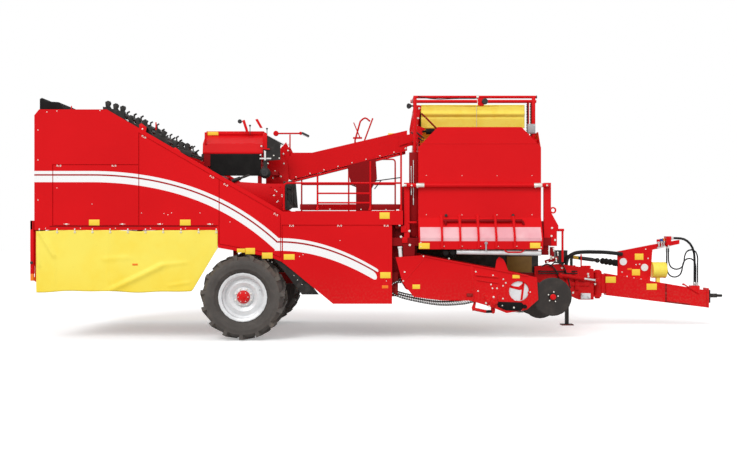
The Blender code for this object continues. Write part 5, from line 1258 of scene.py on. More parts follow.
bracket.block((eye.x - 0.105, -1.248, eye.z - 0.062), (eye.x - 0.010, -1.236, eye.z + 0.052),
              0.004)
bracket.block((eye.x - 0.080, -1.240, eye.z - 0.070), (eye.x - 0.020, -1.222, eye.z - 0.040),
              0.004)
bracket.done()
clamps = Piece("bunker_clamps", "zinc")
spot = seen(477.7, 101.8, -1.228)
clamps.rod((spot.x - 0.018, *NEAR_TUBE), (spot.x + 0.018, *NEAR_TUBE), 0.030, 14, 0.003)
clamps.bolts([spot + Vector((0, -0.006, 0.012)), spot + Vector((0, -0.006, -0.014))], 0.009)
for px in (420.2, 538.0):
    spot = seen(px, 185.4, -1.50)
    clamps.rod((spot.x - 0.060, -1.50, 2.300), (spot.x + 0.060, -1.50, 2.300), 0.0335, 16, 0.004)
    clamps.block((spot.x - 0.050, -1.518, 2.262), (spot.x - 0.030, -1.485, 2.268), 0.002)
clamps.rod((0.062, -1.50, 2.300), (0.020, -1.50, 2.300), 0.022, 14, 0.003)
clamps.done()
lamp = Piece("bunker_work_lamp", "black")
spot = seen(409.6, 105.8, -1.215)
lamp.turned(spot + Vector((0.02, 0.02, 0)), (-0.8, -0.6, -0.1),
            [(0.0, 0.0), (0.020, 0.0), (0.034, 0.018), (0.042, 0.046), (0.038, 0.054),
             (0.030, 0.050), (0.0, 0.050)], 16)
lamp.block_at(spot, (0.010, 0.004, -0.012), (0.075, 0.030, 0.012), 0.003)
lamp.done()
box_case = Piece("bunker_switch_box", "grey")
spot = seen(531.8, 128.6, -1.245)
box_case.block_at(spot, (-0.062, 0.000, -0.074), (0.056, 0.034, 0.072), 0.008)
box_case.block_at(spot, (-0.050, -0.006, -0.060), (0.044, 0.002, 0.058), 0.003)
box_case.done()
box_bolts = Piece("bunker_switch_box_bolts", "zinc")
box_bolts.bolts([spot + Vector((x, -0.006, z)) for x in (-0.040, 0.034) for z in (-0.050, 0.048)],
                0.004)
box_bolts.done()
loom = [(0.245, -1.228, 3.655), (0.330, -1.232, 3.640), (0.430, -1.228, 3.624),
        (0.560, -1.226, 3.616), (0.680, -1.228, 3.618), (0.790, -1.226, 3.622),
        (0.900, -1.224, 3.625), (1.120, -1.222, 3.625)]
line("bunker_loom", flowing(loom, 0.02), 0.0065, "cable")


# Bunker wall: rivets, rail, hooks, pull, latch, foot roller, and behind it a black sheet of
# painted shade and the guards

rivets = Piece("bunker_rivets", "zinc")
WALL_FACE, SKIRT_FACE = -1.4502, -1.6302
for py, size, row in ((175.6, 0.0042, (426.3, 462.0, 497.0, 532.0)),
                      (214.8, 0.0048, (426.3, 446.0, 462.0, 497.0, 513.0, 532.0))):
    rivets.bolts([seen(px, py, WALL_FACE) for px in row], size)
for rib in BUNKER_RIBS:
    rivets.bolts([(rib + 0.030, SKIRT_FACE, 1.395)], 0.005)
rivets.bolts([(0.268, SKIRT_FACE, 1.39), (0.268, SKIRT_FACE, 1.45), (2.040, SKIRT_FACE, 1.38),
              (2.040, SKIRT_FACE, 1.50)], 0.0075)
rivets.done()
# The rail's dark red is painted shade: it lies in the shadow of the skirt's upper fold
rail = Piece("skirt_rail", "dark_red")
for a_x, b_x in ((0.612, 0.824), (0.876, 1.092), (1.146, 1.356), (1.404, 1.620), (1.680, 1.780)):
    rail.rod((a_x, -1.520, 1.772), (b_x, -1.520, 1.772), 0.022, 12, 0.004)
rail.rod((1.778, -1.520, 1.772), (1.800, -1.520, 1.716), 0.018, 12, 0.004)
rail.rod((0.640, -1.535, 1.780), (0.640, -1.535, 1.712), 0.016, 12, 0.004)
rail.done()
hooks = Piece("skirt_hooks", "black_steel")
for px in (446.0, 513.0):
    spot = seen(px, 215.4, -1.455)
    hooks.turned(spot, (0, -1, 0), [(0.0, 0.0), (0.022, 0.0), (0.022, 0.016), (0.012, 0.024),
                                    (0.0, 0.024)], 14)
hooks.done()
pull = Piece("skirt_pull", "red")
a, b = at(-1.60, ((503.5, 249.4), (525.0, 249.4)))
bar = [(a.x, -1.600, 1.372), (a.x + 0.030, -1.600, 1.322), (a.x + 0.060, -1.600, 1.306),
       (b.x - 0.060, -1.600, 1.306), (b.x - 0.030, -1.600, 1.322), (b.x, -1.600, 1.372)]
for start, end in zip(bar, bar[1:]):
    pull.rod(start, end, 0.011, 12, 0.001)
pull.done()
latch = Piece("skirt_latch", "grey")
spot = seen(486.0, 246.5, -1.6300)
latch.block_at(spot, (-0.012, -0.012, -0.070), (0.012, 0.0, 0.050), 0.003)
latch.turned(spot + Vector((0, -0.012, 0.050)), (0, -1, 0),
             [(0.006, 0.0), (0.022, 0.0), (0.024, 0.006), (0.006, 0.008), (0.006, 0.0)], 14)
latch.done()
Piece("bunker_foot_roller", "rim_silver").rod((0.800, -1.560, 1.312), (2.050, -1.560, 1.292),
                                              0.036, 20, 0.005).done()
ends = Piece("bunker_foot_roller_ends", "black_rubber")
for x, z in ((0.745, 1.308), (0.640, 1.302)):
    ends.turned((x, -1.585, z), (0, 1, 0), [(0.0, 0.0), (0.030, 0.0), (0.044, 0.010),
                                            (0.044, 0.040), (0.030, 0.050), (0.0, 0.050)], 18)
ends.done()
Piece("scraper_board", "ochre").plate([(1.833, 0.925), (1.833, 1.190), (2.256, 1.190),
                                       (2.256, 0.918)], 0.545, 0.5655, 0.004).done()

# Black sheet of painted shade: the inside of the channel, which lies in shadow
inner = Piece("channel_shade_sheet", "black_steel")
inner.block((0.300, 0.566, 0.9158), (2.370, 0.574, 1.400), 0.003)
inner.block((0.300, 0.560, 1.392), (2.370, 0.620, 1.402), 0.003)
inner.done()
# Their dark red is painted shade: these posts beside the bunker's rear edge lie in shadow
guards = Piece("pivot_guards", "dark_red")
guards.block((-0.165, -1.300, 1.240), (0.228, -1.290, 1.760), 0.004)
guards.block((0.108, -1.360, 1.530), (0.2385, -1.300, 2.800), 0.004)
guards.block((-0.165, -1.300, 0.905), (-0.020, -1.290, 1.242), 0.003)
guards.block((0.000, -1.330, 1.760), (0.085, -1.285, 2.290), 0.006)
guards.block((-0.180, -1.375, 0.640), (-0.060, -1.360, 1.000), 0.004)
guards.done()


# Bunker frame at the front and back: castings, pins and links

fittings = Piece("bunker_fittings", "red")
for px, py, w, h in ((403.6, 229.0, 5.4, 7.0), (404.8, 240.0, 5.6, 6.0)):
    spot = seen(px, py, -1.44)
    fittings.block_at(spot, (-w / 134, -0.012, -h / 134), (w / 134, 0.030, h / 134), 0.005)
a, b = at(-1.44, ((408.4, 222.4), (416.6, 222.4)))
fittings.rod(a, b, 0.016, 12, 0.003)
a, b = at(-1.40, ((557.0, 230.0), (564.0, 230.0)))
fittings.rod(a, b, 0.020, 12, 0.004)
a, b = at(-1.40, ((562.5, 229.0), (562.5, 262.0)))
fittings.rod(a, b, 0.016, 12, 0.004)
fittings.block(seen(549.5, 246.0, -1.43), seen(557.0, 222.5, -1.43) + Vector((0, 0.02, 0)), 0.004)
fittings.done()
pins = Piece("bunker_pins", "zinc")
pins.bolts(at(-1.455, ((399.6, 225.0), (401.0, 236.8), (409.4, 231.0), (409.8, 245.0))), 0.014)
pins.bolts(at(-1.445, ((551.5, 236.0), (555.0, 240.0), (552.0, 228.0), (547.5, 262.0),
                       (553.0, 257.5))), 0.012)
pins.bolts(at(-1.532, ((411.6, 185.4), (547.0, 185.4))), 0.010)
pins.done()
lift = Piece("lift_cylinder", "white")
a, b = at(-1.46, ((399.8, 246.4), (401.6, 267.8)))
lift.rod(a, b, 0.027, 18, 0.004)
lift.rod(a, a.lerp(b, 0.10), 0.034, 18, 0.005)
lift.rod(a.lerp(b, 0.92), b, 0.034, 18, 0.005)
lift.done()
stems = Piece("bunker_rear_rods", "steel")
for px, top, foot in ((413.4, 160.0, 200.0), (411.2, 166.0, 190.0)):
    stems.rod(*at(-1.375, ((px, top), (px, foot))), 0.0055, 10, 0.001)
    stems.rod(*at(-1.375, ((px, foot - 2.0), (px, foot + 5.0))), 0.012, 14, 0.002)
stems.done()
front_gear = Piece("bunker_front_gear", "dark_red")
a, b = at(-1.38, ((541.5, 255.0), (548.5, 221.0)))
front_gear.block((a.x, -1.395, a.z), (b.x, -1.350, b.z), 0.006)
front_gear.rod(seen(552.0, 262.0, -1.36), seen(552.0, 247.0, -1.36), 0.034, 16, 0.006)
front_gear.rod(seen(545.0, 262.0, -1.36), seen(558.0, 258.0, -1.36), 0.026, 14, 0.004)
front_gear.done()
fittings_bright = Piece("bunker_front_fittings", "zinc")
for px, py in ((548.6, 250.5), (553.4, 248.4), (557.6, 252.4), (550.6, 256.4), (556.0, 258.6)):
    spot = seen(px, py, -1.40)
    fittings_bright.rod_at(spot, (0, 0.010, 0), (0, -0.020, 0), 0.013, 6, 0.002)
    fittings_bright.rod_at(spot, (0.0, -0.004, 0.0), (0.006, -0.004, -0.050), 0.009, 10, 0.002)
fittings_bright.done()


# Black plate in the wheel arch, for dark parts deep there and partly painted shade of the
# underside, and the posts at the rear corners

arch = Piece("arch_plate", "black_steel")
arch.plate(cut(-1.446, ((271.0, 256.0), (290.0, 258.0), (319.0, 294.5), (302.0, 294.5),
                        (284.0, 271.0), (277.0, 263.0))), -1.4555, -1.440, 0.002)
for px, py in ((297.0, 280.0), (302.0, 287.0), (291.0, 273.0), (286.0, 265.0)):
    spot = seen(px, py, -1.456)
    arch.rod_at(spot, (0, 0.012, 0), (0, -0.004, 0), 0.012, 10)
arch.done()
posts = Piece("rear_corner_posts", "red")
post_ends = Piece("rear_post_ends", "orange")
post_knobs = Piece("rear_post_knobs", "black")
for side in (-1, 1):
    inner, edge, outer = side * 1.300, side * 1.440, side * 1.500
    posts.block((-5.528, min(inner, outer), 1.640), (-5.492, max(inner, outer), 1.775), 0.004)
    posts.block((-5.528, min(edge, outer), 0.985), (-5.480, max(edge, outer), 1.775), 0.004)
    y0, y1 = sorted((side * 1.448, side * 1.496))
    post_ends.block((-5.528, y0, 0.880), (-5.484, y1, 0.986), 0.004)
    post_knobs.rod((-5.506, side * 1.496, 1.150), (-5.506, side * 1.518, 1.150), 0.022, 16,
                   0.004)
posts.done()
post_ends.done()
post_knobs.done()


# Dark strip of painted shadow under the doors, over the tarpaulin; the fold in the bunker wall and
# the guide rod on the apron

Piece("door_shadow_strip", "dark_red").block((-5.240, -1.5040, 1.6830), (-2.760, ON_PANEL, 1.6965),
                                      0.001).done()
Piece("bunker_wall_fold", "red").block((0.2430, -1.4540, 2.9190), (2.0300, -1.4503, 2.9290),
                                       0.0015).done()
guide = Piece("apron_guide_rod", "steel", "unloader")
for a, b in (((1.295, 0.318, 3.712), (1.295, 0.288, 3.700)),
             ((1.295, 0.288, 3.700), (1.295, 0.288, 3.350)),
             ((1.295, 0.288, 3.350), (1.295, 0.326, 3.338))):
    guide.rod(a, b, 0.0035, 8)
guide.done()


# Rubber deflector on the rear edge

flap = Piece("deflector", "black_rubber")
shape = at(-1.30, ((39.6, 109.6), (39.6, 98.8), (42.0, 97.6), (44.6, 101.2), (58.6, 102.0),
                   (64.4, 109.8)))
flap.plate([(p.x, max(p.z, 3.4165)) for p in shape], -1.300, 1.100, 0.008)
flap = flap.done()
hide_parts("rubber_deflector")


# Intake: window, stiffeners, bolts, chain rollers and the adjusting cylinder

window = Vector((1.734, PANEL_Y, 0.7255))
window_plate = Piece("intake_window_plate", "rim_silver", "intake")
window_plate.turned((window.x, -1.478, window.z), (0, 1, 0),
                    [(0.0, 0.0), (0.146, 0.0), (0.146, 0.006), (0.0, 0.006)], 40)
window_plate.done()
ring = Piece("intake_window_ring", "red", "intake")
ring.turned((window.x, PANEL_Y, window.z), (0, -1, 0),
            [(0.150, 0.0004), (0.166, 0.0004), (0.166, 0.005), (0.158, 0.008), (0.150, 0.005),
             (0.150, 0.0004)], 40)
arm_line = [(1.590, 0.822), (1.660, 0.800), (1.730, 0.790), (1.782, 0.832), (1.800, 0.826),
            (1.778, 0.748), (1.740, 0.742), (1.640, 0.766), (1.590, 0.780)]
ring.plate(arm_line, -1.4835, -1.4790, 0.0015)
ring.plate([(1.792, 0.880), (1.822, 0.860), (1.790, 0.600), (1.756, 0.588)], -1.4835, -1.4790,
           0.0015)
ring.done()
trim = Piece("intake_trim", "red", "intake")
top_a, top_b = at(PANEL_Y, ((424.0, 255.2), (528.0, 275.0)))
trim.plate(strip(top_a, top_b, 0.026), -1.5130, ON_PANEL, 0.003)
seam = seen(472.5, 280.0, PANEL_Y).x
trim.plate([(seam - 0.004, 0.598), (seam + 0.030, 0.596), (seam + 0.006, 1.108),
            (seam - 0.028, 1.114)], -1.5060, ON_PANEL, 0.002)
a, b = at(PANEL_Y, ((475.5, 274.2), (498.0, 276.6)))
trim.plate(strip(a, b, 0.020), -1.5220, ON_PANEL, 0.004)
a, b = at(PANEL_Y, ((477.0, 279.4), (498.0, 282.4)))
trim.plate(strip(a, b, 0.016), -1.5160, ON_PANEL, 0.004)
fold_a, fold_b = at(PANEL_Y, ((424.2, 258.3), (404.2, 281.7)))
trim.rod(fold_a + Vector((0, -0.001, 0)), fold_b + Vector((0, -0.001, 0)), 0.0045, 8)
block = seen(491.5, 301.0, PANEL_Y)
trim.plate([(block.x - 0.110, block.z + 0.085), (block.x + 0.080, block.z + 0.105),
            (block.x + 0.095, block.z - 0.030), (block.x + 0.020, block.z - 0.100),
            (block.x - 0.070, block.z - 0.070)], -1.5240, ON_PANEL, 0.006)
trim.rod((block.x - 0.055, -1.545, block.z), (block.x - 0.055, -1.505, block.z), 0.028, 18, 0.004)
trim.rod((block.x + 0.035, -1.545, block.z - 0.030), (block.x + 0.035, -1.505, block.z - 0.030),
         0.024, 18, 0.004)
trim.done()
plate_low = Piece("intake_skid", "dark_red", "intake")
plate_low.block(seen(466.5, 296.6, PANEL_Y) + Vector((0, -0.012, 0)),
                seen(473.0, 293.4, PANEL_Y) + Vector((0, -0.0003, 0)), 0.003)
plate_low.done()
screws = Piece("intake_bolts", "zinc", "intake")
screws.bolts(at(ON_PANEL, ((475.8, 271.7), (493.0, 275.4), (503.3, 279.2), (491.0, 284.5),
                           (492.5, 288.3), (478.0, 291.0), (497.0, 288.3), (505.8, 282.8),
                           (503.0, 285.8), (404.6, 272.0), (403.2, 281.0), (423.6, 256.2),
                           (449.0, 258.5), (503.0, 298.6), (530.0, 292.0))), 0.0095)
screws.bolts(at(-1.524, ((493.6, 297.0), (486.0, 303.0), (489.0, 306.5))), 0.012)
screws.done()
pegs = Piece("intake_chain_rollers", "black_rubber", "intake")
for px, py, r in ((501.7, 305.2, 0.036), (513.2, 307.2, 0.040), (524.0, 306.2, 0.030)):
    spot = seen(px, py, -1.452)
    pegs.turned((spot.x, -1.5075, spot.z), (0, -1, 0),
                [(0.0, 0.0), (r, 0.0), (r, 0.012), (r * 0.7, 0.016), (r * 0.7, 0.028),
                 (r, 0.032), (r, 0.044), (0.0, 0.044)], 20)
pegs.plate(cut(PANEL_Y, ((496.5, 301.6), (521.5, 302.4), (525.0, 306.0), (520.5, 311.0),
                         (506.0, 310.4), (498.0, 307.0))), -1.5070, ON_PANEL, 0.003)
pegs.done()
shine = Piece("intake_roller_caps", "zinc", "intake")
for px, py, r in ((501.7, 305.2, 0.010), (513.2, 307.2, 0.014)):
    spot = seen(px, py, -1.481)
    shine.turned((spot.x, -1.5517, spot.z), (0, -1, 0),
                 [(0.0, 0.0), (r, 0.0), (r, 0.006), (r * 0.7, 0.010), (0.0, 0.010)], 16)
shine.done()
ram = Piece("intake_cylinder", "red", "intake")
a, b = at(-1.44, ((473.5, 309.0), (486.0, 311.6)))
ram.rod(a, b, 0.024, 16, 0.004)
ram.rod(a.lerp(b, -0.06), a, 0.018, 14, 0.003)
ram.done()
ram_rod = Piece("intake_cylinder_rod", "black_rubber", "intake")
c = seen(492.8, 311.4, -1.44)
ram_rod.rod(b, b.lerp(c, 0.92), 0.020, 14, 0.003)
for share in (0.15, 0.35, 0.55, 0.75):
    spot = b.lerp(c, share)
    ram_rod.turned(spot, c - b, [(0.0, -0.008), (0.020, -0.008), (0.026, 0.0), (0.020, 0.008),
                                 (0.0, 0.008)], 14)
ram_rod.done()
ears = Piece("intake_cylinder_mounts", "red", "intake")
ears.plate([(a.x - 0.030, a.z + 0.020), (a.x + 0.010, a.z + 0.120), (a.x + 0.040, a.z + 0.120),
            (a.x + 0.020, a.z - 0.020), (a.x - 0.015, a.z - 0.030)], -1.452, -1.440, 0.003)
ears.plate([(c.x - 0.030, c.z - 0.020), (c.x - 0.030, c.z + 0.130), (c.x + 0.040, c.z + 0.130),
            (c.x + 0.030, c.z - 0.020), (c.x + 0.005, c.z - 0.036)], -1.456, -1.440, 0.003)
ears.done()
# The rod web with its slack lower run, whose rods are held in three belts
WEB_LOOP = ((-0.075, 0.865), (0.60, 0.760), (1.20, 0.695), (1.500, 0.680), (1.590, 0.620),
            (1.550, 0.540), (1.380, 0.545), (1.137, 0.572), (0.913, 0.530), (0.566, 0.516),
            (0.190, 0.575), (-0.080, 0.650), (-0.160, 0.720), (-0.150, 0.820))
web_points = flowing([(x, 0.0, z) for x, z in (*WEB_LOOP, WEB_LOOP[0])], 0.0345)[:-1]
rods = Piece("intake_web_rods", "steel", "intake")
side_belts = Piece("intake_web_belts", "black_rubber", "intake")
for here, after in zip(web_points, (*web_points[1:], web_points[0])):
    rods.rod((here.x, -1.435, here.z), (here.x, 0.028, here.z), 0.0075, 8)
    middle, along = (here + after) / 2, after - here
    for belt_y in (-1.412, -0.700, 0.004):
        length = along.length + 0.004
        turn = math.atan2(-along.z, along.x)
        side_belts.block((middle.x - length / 2, belt_y - 0.016, middle.z - 0.011),
                         (middle.x + length / 2, belt_y + 0.016, middle.z + 0.011), 0.0, turn)
rods = rods.done()
side_belts = side_belts.done()
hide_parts("intake_web")


# Rollers at the trough's rear end

rear_roll = Piece("trough_rear_rollers", "black_rubber")
for px in (447.0, 453.5):
    spot = seen(px, 254.4, -1.42)
    rear_roll.turned((spot.x, -1.440, spot.z), (0, 1, 0),
                     [(0.0, 0.0), (0.030, 0.0), (0.040, 0.008), (0.040, 0.060), (0.0, 0.060)], 18)
rear_roll.done()


# Coulter discs: hub plates and bolts

for name, body in (("right", "disc_right"), ("middle", "disc_middle"), ("left", "disc_left")):
    low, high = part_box(f"coulter_{name}")
    cx, cz, face = (low[0] + high[0]) / 2, (low[2] + high[2]) / 2, low[1]
    hub = Piece(f"coulter_{name}_hub", "red", body)
    hub.turned((cx, face, cz), (0, -1, 0),
               [(0.0, 0.0003), (0.044, 0.0003), (0.044, 0.010), (0.034, 0.016), (0.018, 0.018),
                (0.0, 0.018)], 24)
    hub.done()
    studs = Piece(f"coulter_{name}_bolts", "zinc", body)
    studs.bolts([(cx + 0.075 * math.cos(a), face - 0.0003, cz + 0.075 * math.sin(a))
                 for a in (math.radians(10 + 72 * i) for i in range(5))], 0.0085)
    studs.done()


# Drawbar: turntable castings, stand, power shaft and hitch

discs = Piece("stand_reflectors", "white", "drawbar_body")
for px, py in ((623.2, 261.7), (644.5, 267.5)):
    spot = seen(px, py, STAND_FACE)
    discs.turned((spot.x, STAND_FACE, spot.z), (0, -1, 0),
                 [(0.0, 0.0004), (0.062, 0.0004), (0.062, 0.006), (0.054, 0.010), (0.050, 0.007),
                  (0.012, 0.007), (0.008, 0.010), (0.0, 0.010)], 32)
discs.done()
stand_bolts = Piece("stand_bolts", "zinc", "drawbar_body")
stand_bolts.bolts(at(STAND_FACE, ((636.0, 264.6), (639.5, 264.2), (645.6, 249.2), (648.0, 258.4),
                                  (622.0, 272.0), (627.0, 276.4), (634.0, 278.2), (641.0, 279.2))),
                  0.009)
stand_bolts.done()
couplings = Piece("stand_couplings", "steel", "drawbar_body")
caps = {colour: Piece(f"coupling_caps_{name}", colour, "drawbar_body") for colour, name in
        (("red", "red"), ("blue", "blue"), ("orange", "amber"), ("black", "black"))}
for x, y, colour in ((4.440, 0.664, "red"), (4.440, 0.736, "red"), (4.490, 0.664, "blue"),
                     (4.490, 0.736, "blue"), (4.530, 0.664, "orange"), (4.530, 0.736, "black")):
    foot = Vector((x, y, 1.372 + (x - 4.310) * 0.176))
    couplings.rod_at(foot, (0, 0, -0.060), (0, 0, 0.020), 0.014, 6, 0.002)
    couplings.rod_at(foot, (0, 0, 0.020), (0, 0, 0.042), 0.016, 16, 0.002)
    caps[colour].turned(foot + Vector((0, 0, 0.0425)), (0, 0, 1),
                        [(0.0, 0.0), (0.0175, 0.0), (0.019, 0.010), (0.0175, 0.034),
                         (0.012, 0.040), (0.0, 0.041)], 16)
couplings.block((4.405, 0.640, 1.340), (4.556, 0.6935, 1.352), 0.002, -0.17)
couplings.block((4.405, 0.7065, 1.340), (4.556, 0.760, 1.352), 0.002, -0.17)
couplings.done()
for cap in caps.values():
    cap.done()
Piece("power_shaft_bands", "label").rod((2.985, BEAM_Y, 1.1732), (3.070, BEAM_Y, 1.1623), 0.0290,
                                        18).done()
Piece("power_shaft_sleeve", "black").rod((3.095, BEAM_Y, 1.1590), (3.330, BEAM_Y, 1.1285), 0.0330,
                                         20, 0.003).done()
guard_low, guard_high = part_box("pto_guard")
rim = Piece("guard_bands", "belt_yellow", "drawbar_body")
for x in (guard_low[0] + 0.012, (guard_low[0] + guard_high[0]) / 2, guard_high[0] - 0.014):
    rim.turned((x, BEAM_Y, 0.955), (1, 0, 0), [(0.130, -0.009), (0.138, -0.007), (0.138, 0.007),
                                             (0.130, 0.009), (0.130, -0.009)], 32)
rim.done()
knuckle = Piece("guard_hub", "black", "drawbar_body")
knuckle.turned((guard_high[0] + 0.0003, BEAM_Y, 0.955), (1, 0, 0),
               [(0.0, 0.0), (0.080, 0.0), (0.080, 0.005), (0.036, 0.010), (0.034, 0.026),
                (0.0, 0.028)], 24)
knuckle.done()
lever = Piece("drawbar_lever", "red", "drawbar_body")
a, b = at(0.600, ((684.0, 284.4), (698.0, 293.0)))
lever.rod(a, b, 0.012, 12, 0.003)
lever.rod_at(a, (0, -0.004, 0), (0, 0.060, 0), 0.017, 14, 0.003)
lever.block_at(b, (-0.030, 0.0, -0.014), (0.024, 0.0098, 0.014), 0.003)
lever.done()
BEAM_REAR, BEAM_FRONT = 3.530, 5.250


def beam_z(x, top):
    """Height of the beam's upper or lower edge at a place along it."""
    share = (x - BEAM_REAR) / (BEAM_FRONT - BEAM_REAR)
    return 0.900 + (0.610 - 0.900) * share if top else 0.530 + (0.320 - 0.530) * share


seams = Piece("drawbar_seams", "dark_red", "drawbar_body")
low, high = beam_z(4.545, False) + 0.004, beam_z(4.545, True) - 0.004
seams.plate([(4.531, low), (4.559, low), (4.559, high), (4.531, high)], 0.6060, 0.6097, 0.001)
rear_z, front_z = beam_z(4.56, False), beam_z(4.95, False)
seams.plate([(4.56, rear_z + 0.002), (4.95, front_z + 0.002), (4.95, front_z + 0.028),
             (4.56, rear_z + 0.028)], 0.6040, 0.6097, 0.001)
seams.done()
castings = Piece("turntable_castings", "red")
for px0, py0, px1, py1, y0, y1 in ((566.0, 270.0, 571.5, 298.0, 0.500, 0.5295),
                                   (575.0, 272.0, 579.0, 290.0, 0.500, 0.5295),
                                   (556.0, 282.0, 590.0, 286.0, 0.512, 0.5295)):
    a, b = at(y0, ((px0, py1), (px1, py0)))
    castings.block((a.x, y0, max(a.z, 0.47)), (b.x, y1, min(b.z, 1.05)), 0.006)
castings.done()
valve = Piece("turntable_valve", "rim_silver")
a, b = at(0.480, ((581.0, 299.6), (590.6, 293.2)))
valve.block((a.x, 0.470, max(a.z, 0.475)), (b.x, 0.5290, b.z), 0.008)
valve.rod((a.x + 0.020, 0.440, b.z - 0.020), (a.x + 0.020, 0.500, b.z - 0.020), 0.016, 14, 0.003)
valve.rod((b.x - 0.030, 0.440, a.z + 0.045), (b.x - 0.030, 0.500, a.z + 0.045), 0.018, 14, 0.003)
valve.done()
valve_bolts = Piece("turntable_bolts", "zinc")
valve_bolts.bolts(at(0.5295, ((562.0, 268.0), (582.0, 277.8), (588.0, 274.0), (588.4, 276.4),
                              (595.0, 284.0), (560.0, 292.0), (573.0, 292.6))), 0.014)
valve_bolts.done()
upright = Piece("turntable_upright", "red")
top = seen(580.8, 252.4, 0.60)
upright.rod((top.x, 0.575, 0.9655), (top.x, 0.575, min(top.z, 1.225)), 0.012, 12, 0.003)
a, b = at(0.56, ((581.6, 268.2), (590.8, 265.6)))
upright.block(a, b + Vector((0, 0.030, 0)), 0.004)
upright.block((2.960, 0.560, 0.9655), (3.000, 0.590, 1.040), 0.004)
upright.done()
ram_body = Piece("steering_cylinder", "red")
a, b = at(0.470, ((560.5, 275.4), (584.0, 278.6)))
ram_body.rod(a, b, 0.034, 18, 0.005)
ram_body.rod_at(a, (0, 0.060, 0), (0, -0.030, 0), 0.040, 18, 0.005)
ram_body.rod(a.lerp(b, 0.90), b, 0.040, 18, 0.005)
c = seen(597.5, 280.4, 0.470)
ram_body.rod_at(c, (0, 0.060, 0), (0, -0.030, 0), 0.036, 18, 0.005)
ram_body.done()
Piece("steering_cylinder_rod", "steel").rod(b, c, 0.018, 14, 0.002).done()
tubes = Piece("turntable_pipes", "black_steel")
for route in (((2.420, 0.515, 1.020), (2.500, 0.505, 1.060), (2.600, 0.500, 1.020),
               (2.680, 0.500, 0.900), (2.740, 0.500, 0.700)),
              ((2.560, 0.515, 1.020), (2.640, 0.500, 1.090), (2.760, 0.490, 1.050),
               (2.840, 0.490, 0.880), (2.900, 0.500, 0.660))):
    path = flowing(route, 0.03)
    for here, after in zip(path, path[1:]):
        tubes.rod(here, after + (after - here) * 0.15, 0.011, 10)
for y, z in ((0.515, 0.940), (0.500, 0.905)):
    tubes.rod((2.36, y, z), (3.02, y, z), 0.010, 10)
tubes.done()


# Rear lamps and bolts

for side, name in ((-1, "right"), (1, "left")):
    y0, y1 = sorted((side * 1.235, side * 1.405))
    for kind, finish, low, high in (("lens", "lamp_red", 1.150, 1.200),
                                    ("amber", "orange", 1.206, 1.250)):
        Piece(f"tail_{kind}_{name}", finish).block((-5.5300, y0, low), (-5.5240, y1, high),
                                                   0.002).done()
    reflector = Piece(f"tail_reflector_{name}", "orange")
    y0, y1 = sorted((side * 1.300, side * 1.345))
    reflector.block((-5.5290, y0, 0.8700), (-5.5150, y1, 0.9300), 0.003)
    reflector.done()
rear_bolts = Piece("rear_bolts", "zinc")
rear_bolts.bolts([(-5.4858, y, 1.695) for y in (-1.25, -0.65, 0.0, 0.65, 1.25)], 0.011,
                 (-1, 0, 0))
rear_bolts.bolts([(-5.4575, y, z) for y in (-1.40, -0.70, 0.0, 0.70, 1.40)
                  for z in (1.95, 2.60, 3.30)], 0.008, (-1, 0, 0))
rear_bolts.done()


# Left side, which the photograph doesn't show: bolts and treads, and the jack's foot

LEFT_FACE = 1.5003
places = [(x, LEFT_FACE, 1.66) for x in (-5.30, -4.78, -4.26, -3.74, -3.22)]
places += [(x, LEFT_FACE, 1.86) for x in (-1.60, -1.20, -0.80, -0.40)]
places += [(-5.40, LEFT_FACE, z) for z in (1.9, 2.4, 2.9, 3.3)]
Piece("left_side_bolts", "zinc").bolts(places, 0.0065, (0, 1, 0)).done()
treads = Piece("ladder_treads", "zinc")
for step in range(5):
    z = 0.56 + 0.27 * step
    for x in [-1.32 + 0.055 * i for i in range(9)]:
        treads.block((x - 0.010, 1.535, z + 0.0302), (x + 0.010, 1.605, z + 0.0342), 0.001)
treads.done()
Piece("jack_foot_cover", "dark_red", "jack").block((2.8065, 0.7695, 0.0005),
                                                   (3.0135, 0.9505, 0.0160), 0.003).done()


# Floor, background and lights

SKY_LEVEL = 0.58             # of the world's light on the object; what the camera sees of it is 1


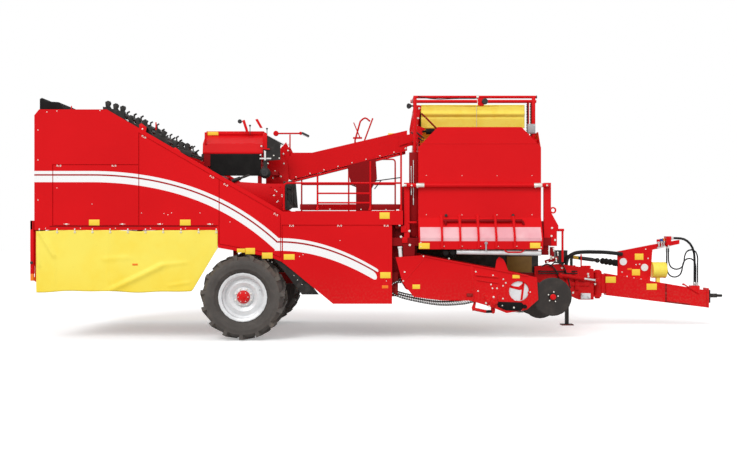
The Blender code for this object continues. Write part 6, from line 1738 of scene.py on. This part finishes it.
def straight(nodes):
    """Above 0 for rays of the camera, also by way of a mirror or glass."""
    path = nodes.node("LightPath")
    rays = [Value(nodes, path.outputs[f"Is {kind} Ray"])
            for kind in ("Camera", "Glossy", "Transmission")]
    return rays[0] + rays[1] + rays[2]


background = Finish("floor_white")
direct = straight(background).above(0.5)
under = background.node("NewGeometry")
background.surface(alpha=1.0 - Value(background, under.outputs["Backfacing"]),
                   base_color=background.mix(direct, (0.50, 0.50, 0.50), (0.98, 0.98, 0.98)),
                   roughness=1.0, specular_ior_level=0.0,
                   emission_color=background.mix(direct, (0.0, 0.0, 0.0), (1.0, 1.0, 1.0)),
                   emission_strength=0.32)

floor_mesh = bmesh.new()
bmesh.ops.create_grid(floor_mesh, x_segments=1, y_segments=1, size=60.0)
floor_data = bpy.data.meshes.new("floor")
floor_mesh.to_mesh(floor_data)
floor_mesh.free()
floor_data.materials.append(background.material)
floor = bpy.data.objects.new("floor", floor_data)
bpy.context.scene.collection.objects.link(floor)

world = bpy.data.worlds.new("studio")
bpy.context.scene.world = world
world.use_nodes = True
sky = Nodes(world.node_tree)
level = sky.node("MapRange", {"clamp": True}, {"Value": straight(sky), "To Min": SKY_LEVEL,
                                               "To Max": 1.0})
glow = sky.node("Background", None, {"Color": (1.0, 1.0, 1.0), "Strength": level.outputs[0]})
sky.node("OutputWorld", None, {"Surface": glow.outputs[0]})

# Suns: name, strength, spread in degrees, elevation, bearing from the camera's side
SUNS = (("key", 1.50, 34.0, 38.0, -24.0), ("side", 0.50, 60.0, 16.0, 30.0))
for name, strength, spread, elevation, bearing in SUNS:
    sun = bpy.data.lights.new(name, "SUN")
    sun.energy = strength
    sun.angle = math.radians(spread)
    lit = bpy.data.objects.new(name, sun)
    high, round_to = math.radians(elevation), math.radians(bearing)
    toward = Vector((math.sin(round_to) * math.cos(high), -math.cos(round_to) * math.cos(high),
                     math.sin(high)))
    lit.rotation_euler = toward.to_track_quat("Z", "Y").to_euler()
    bpy.context.scene.collection.objects.link(lit)

bpy.context.scene.view_settings.view_transform = "Standard"
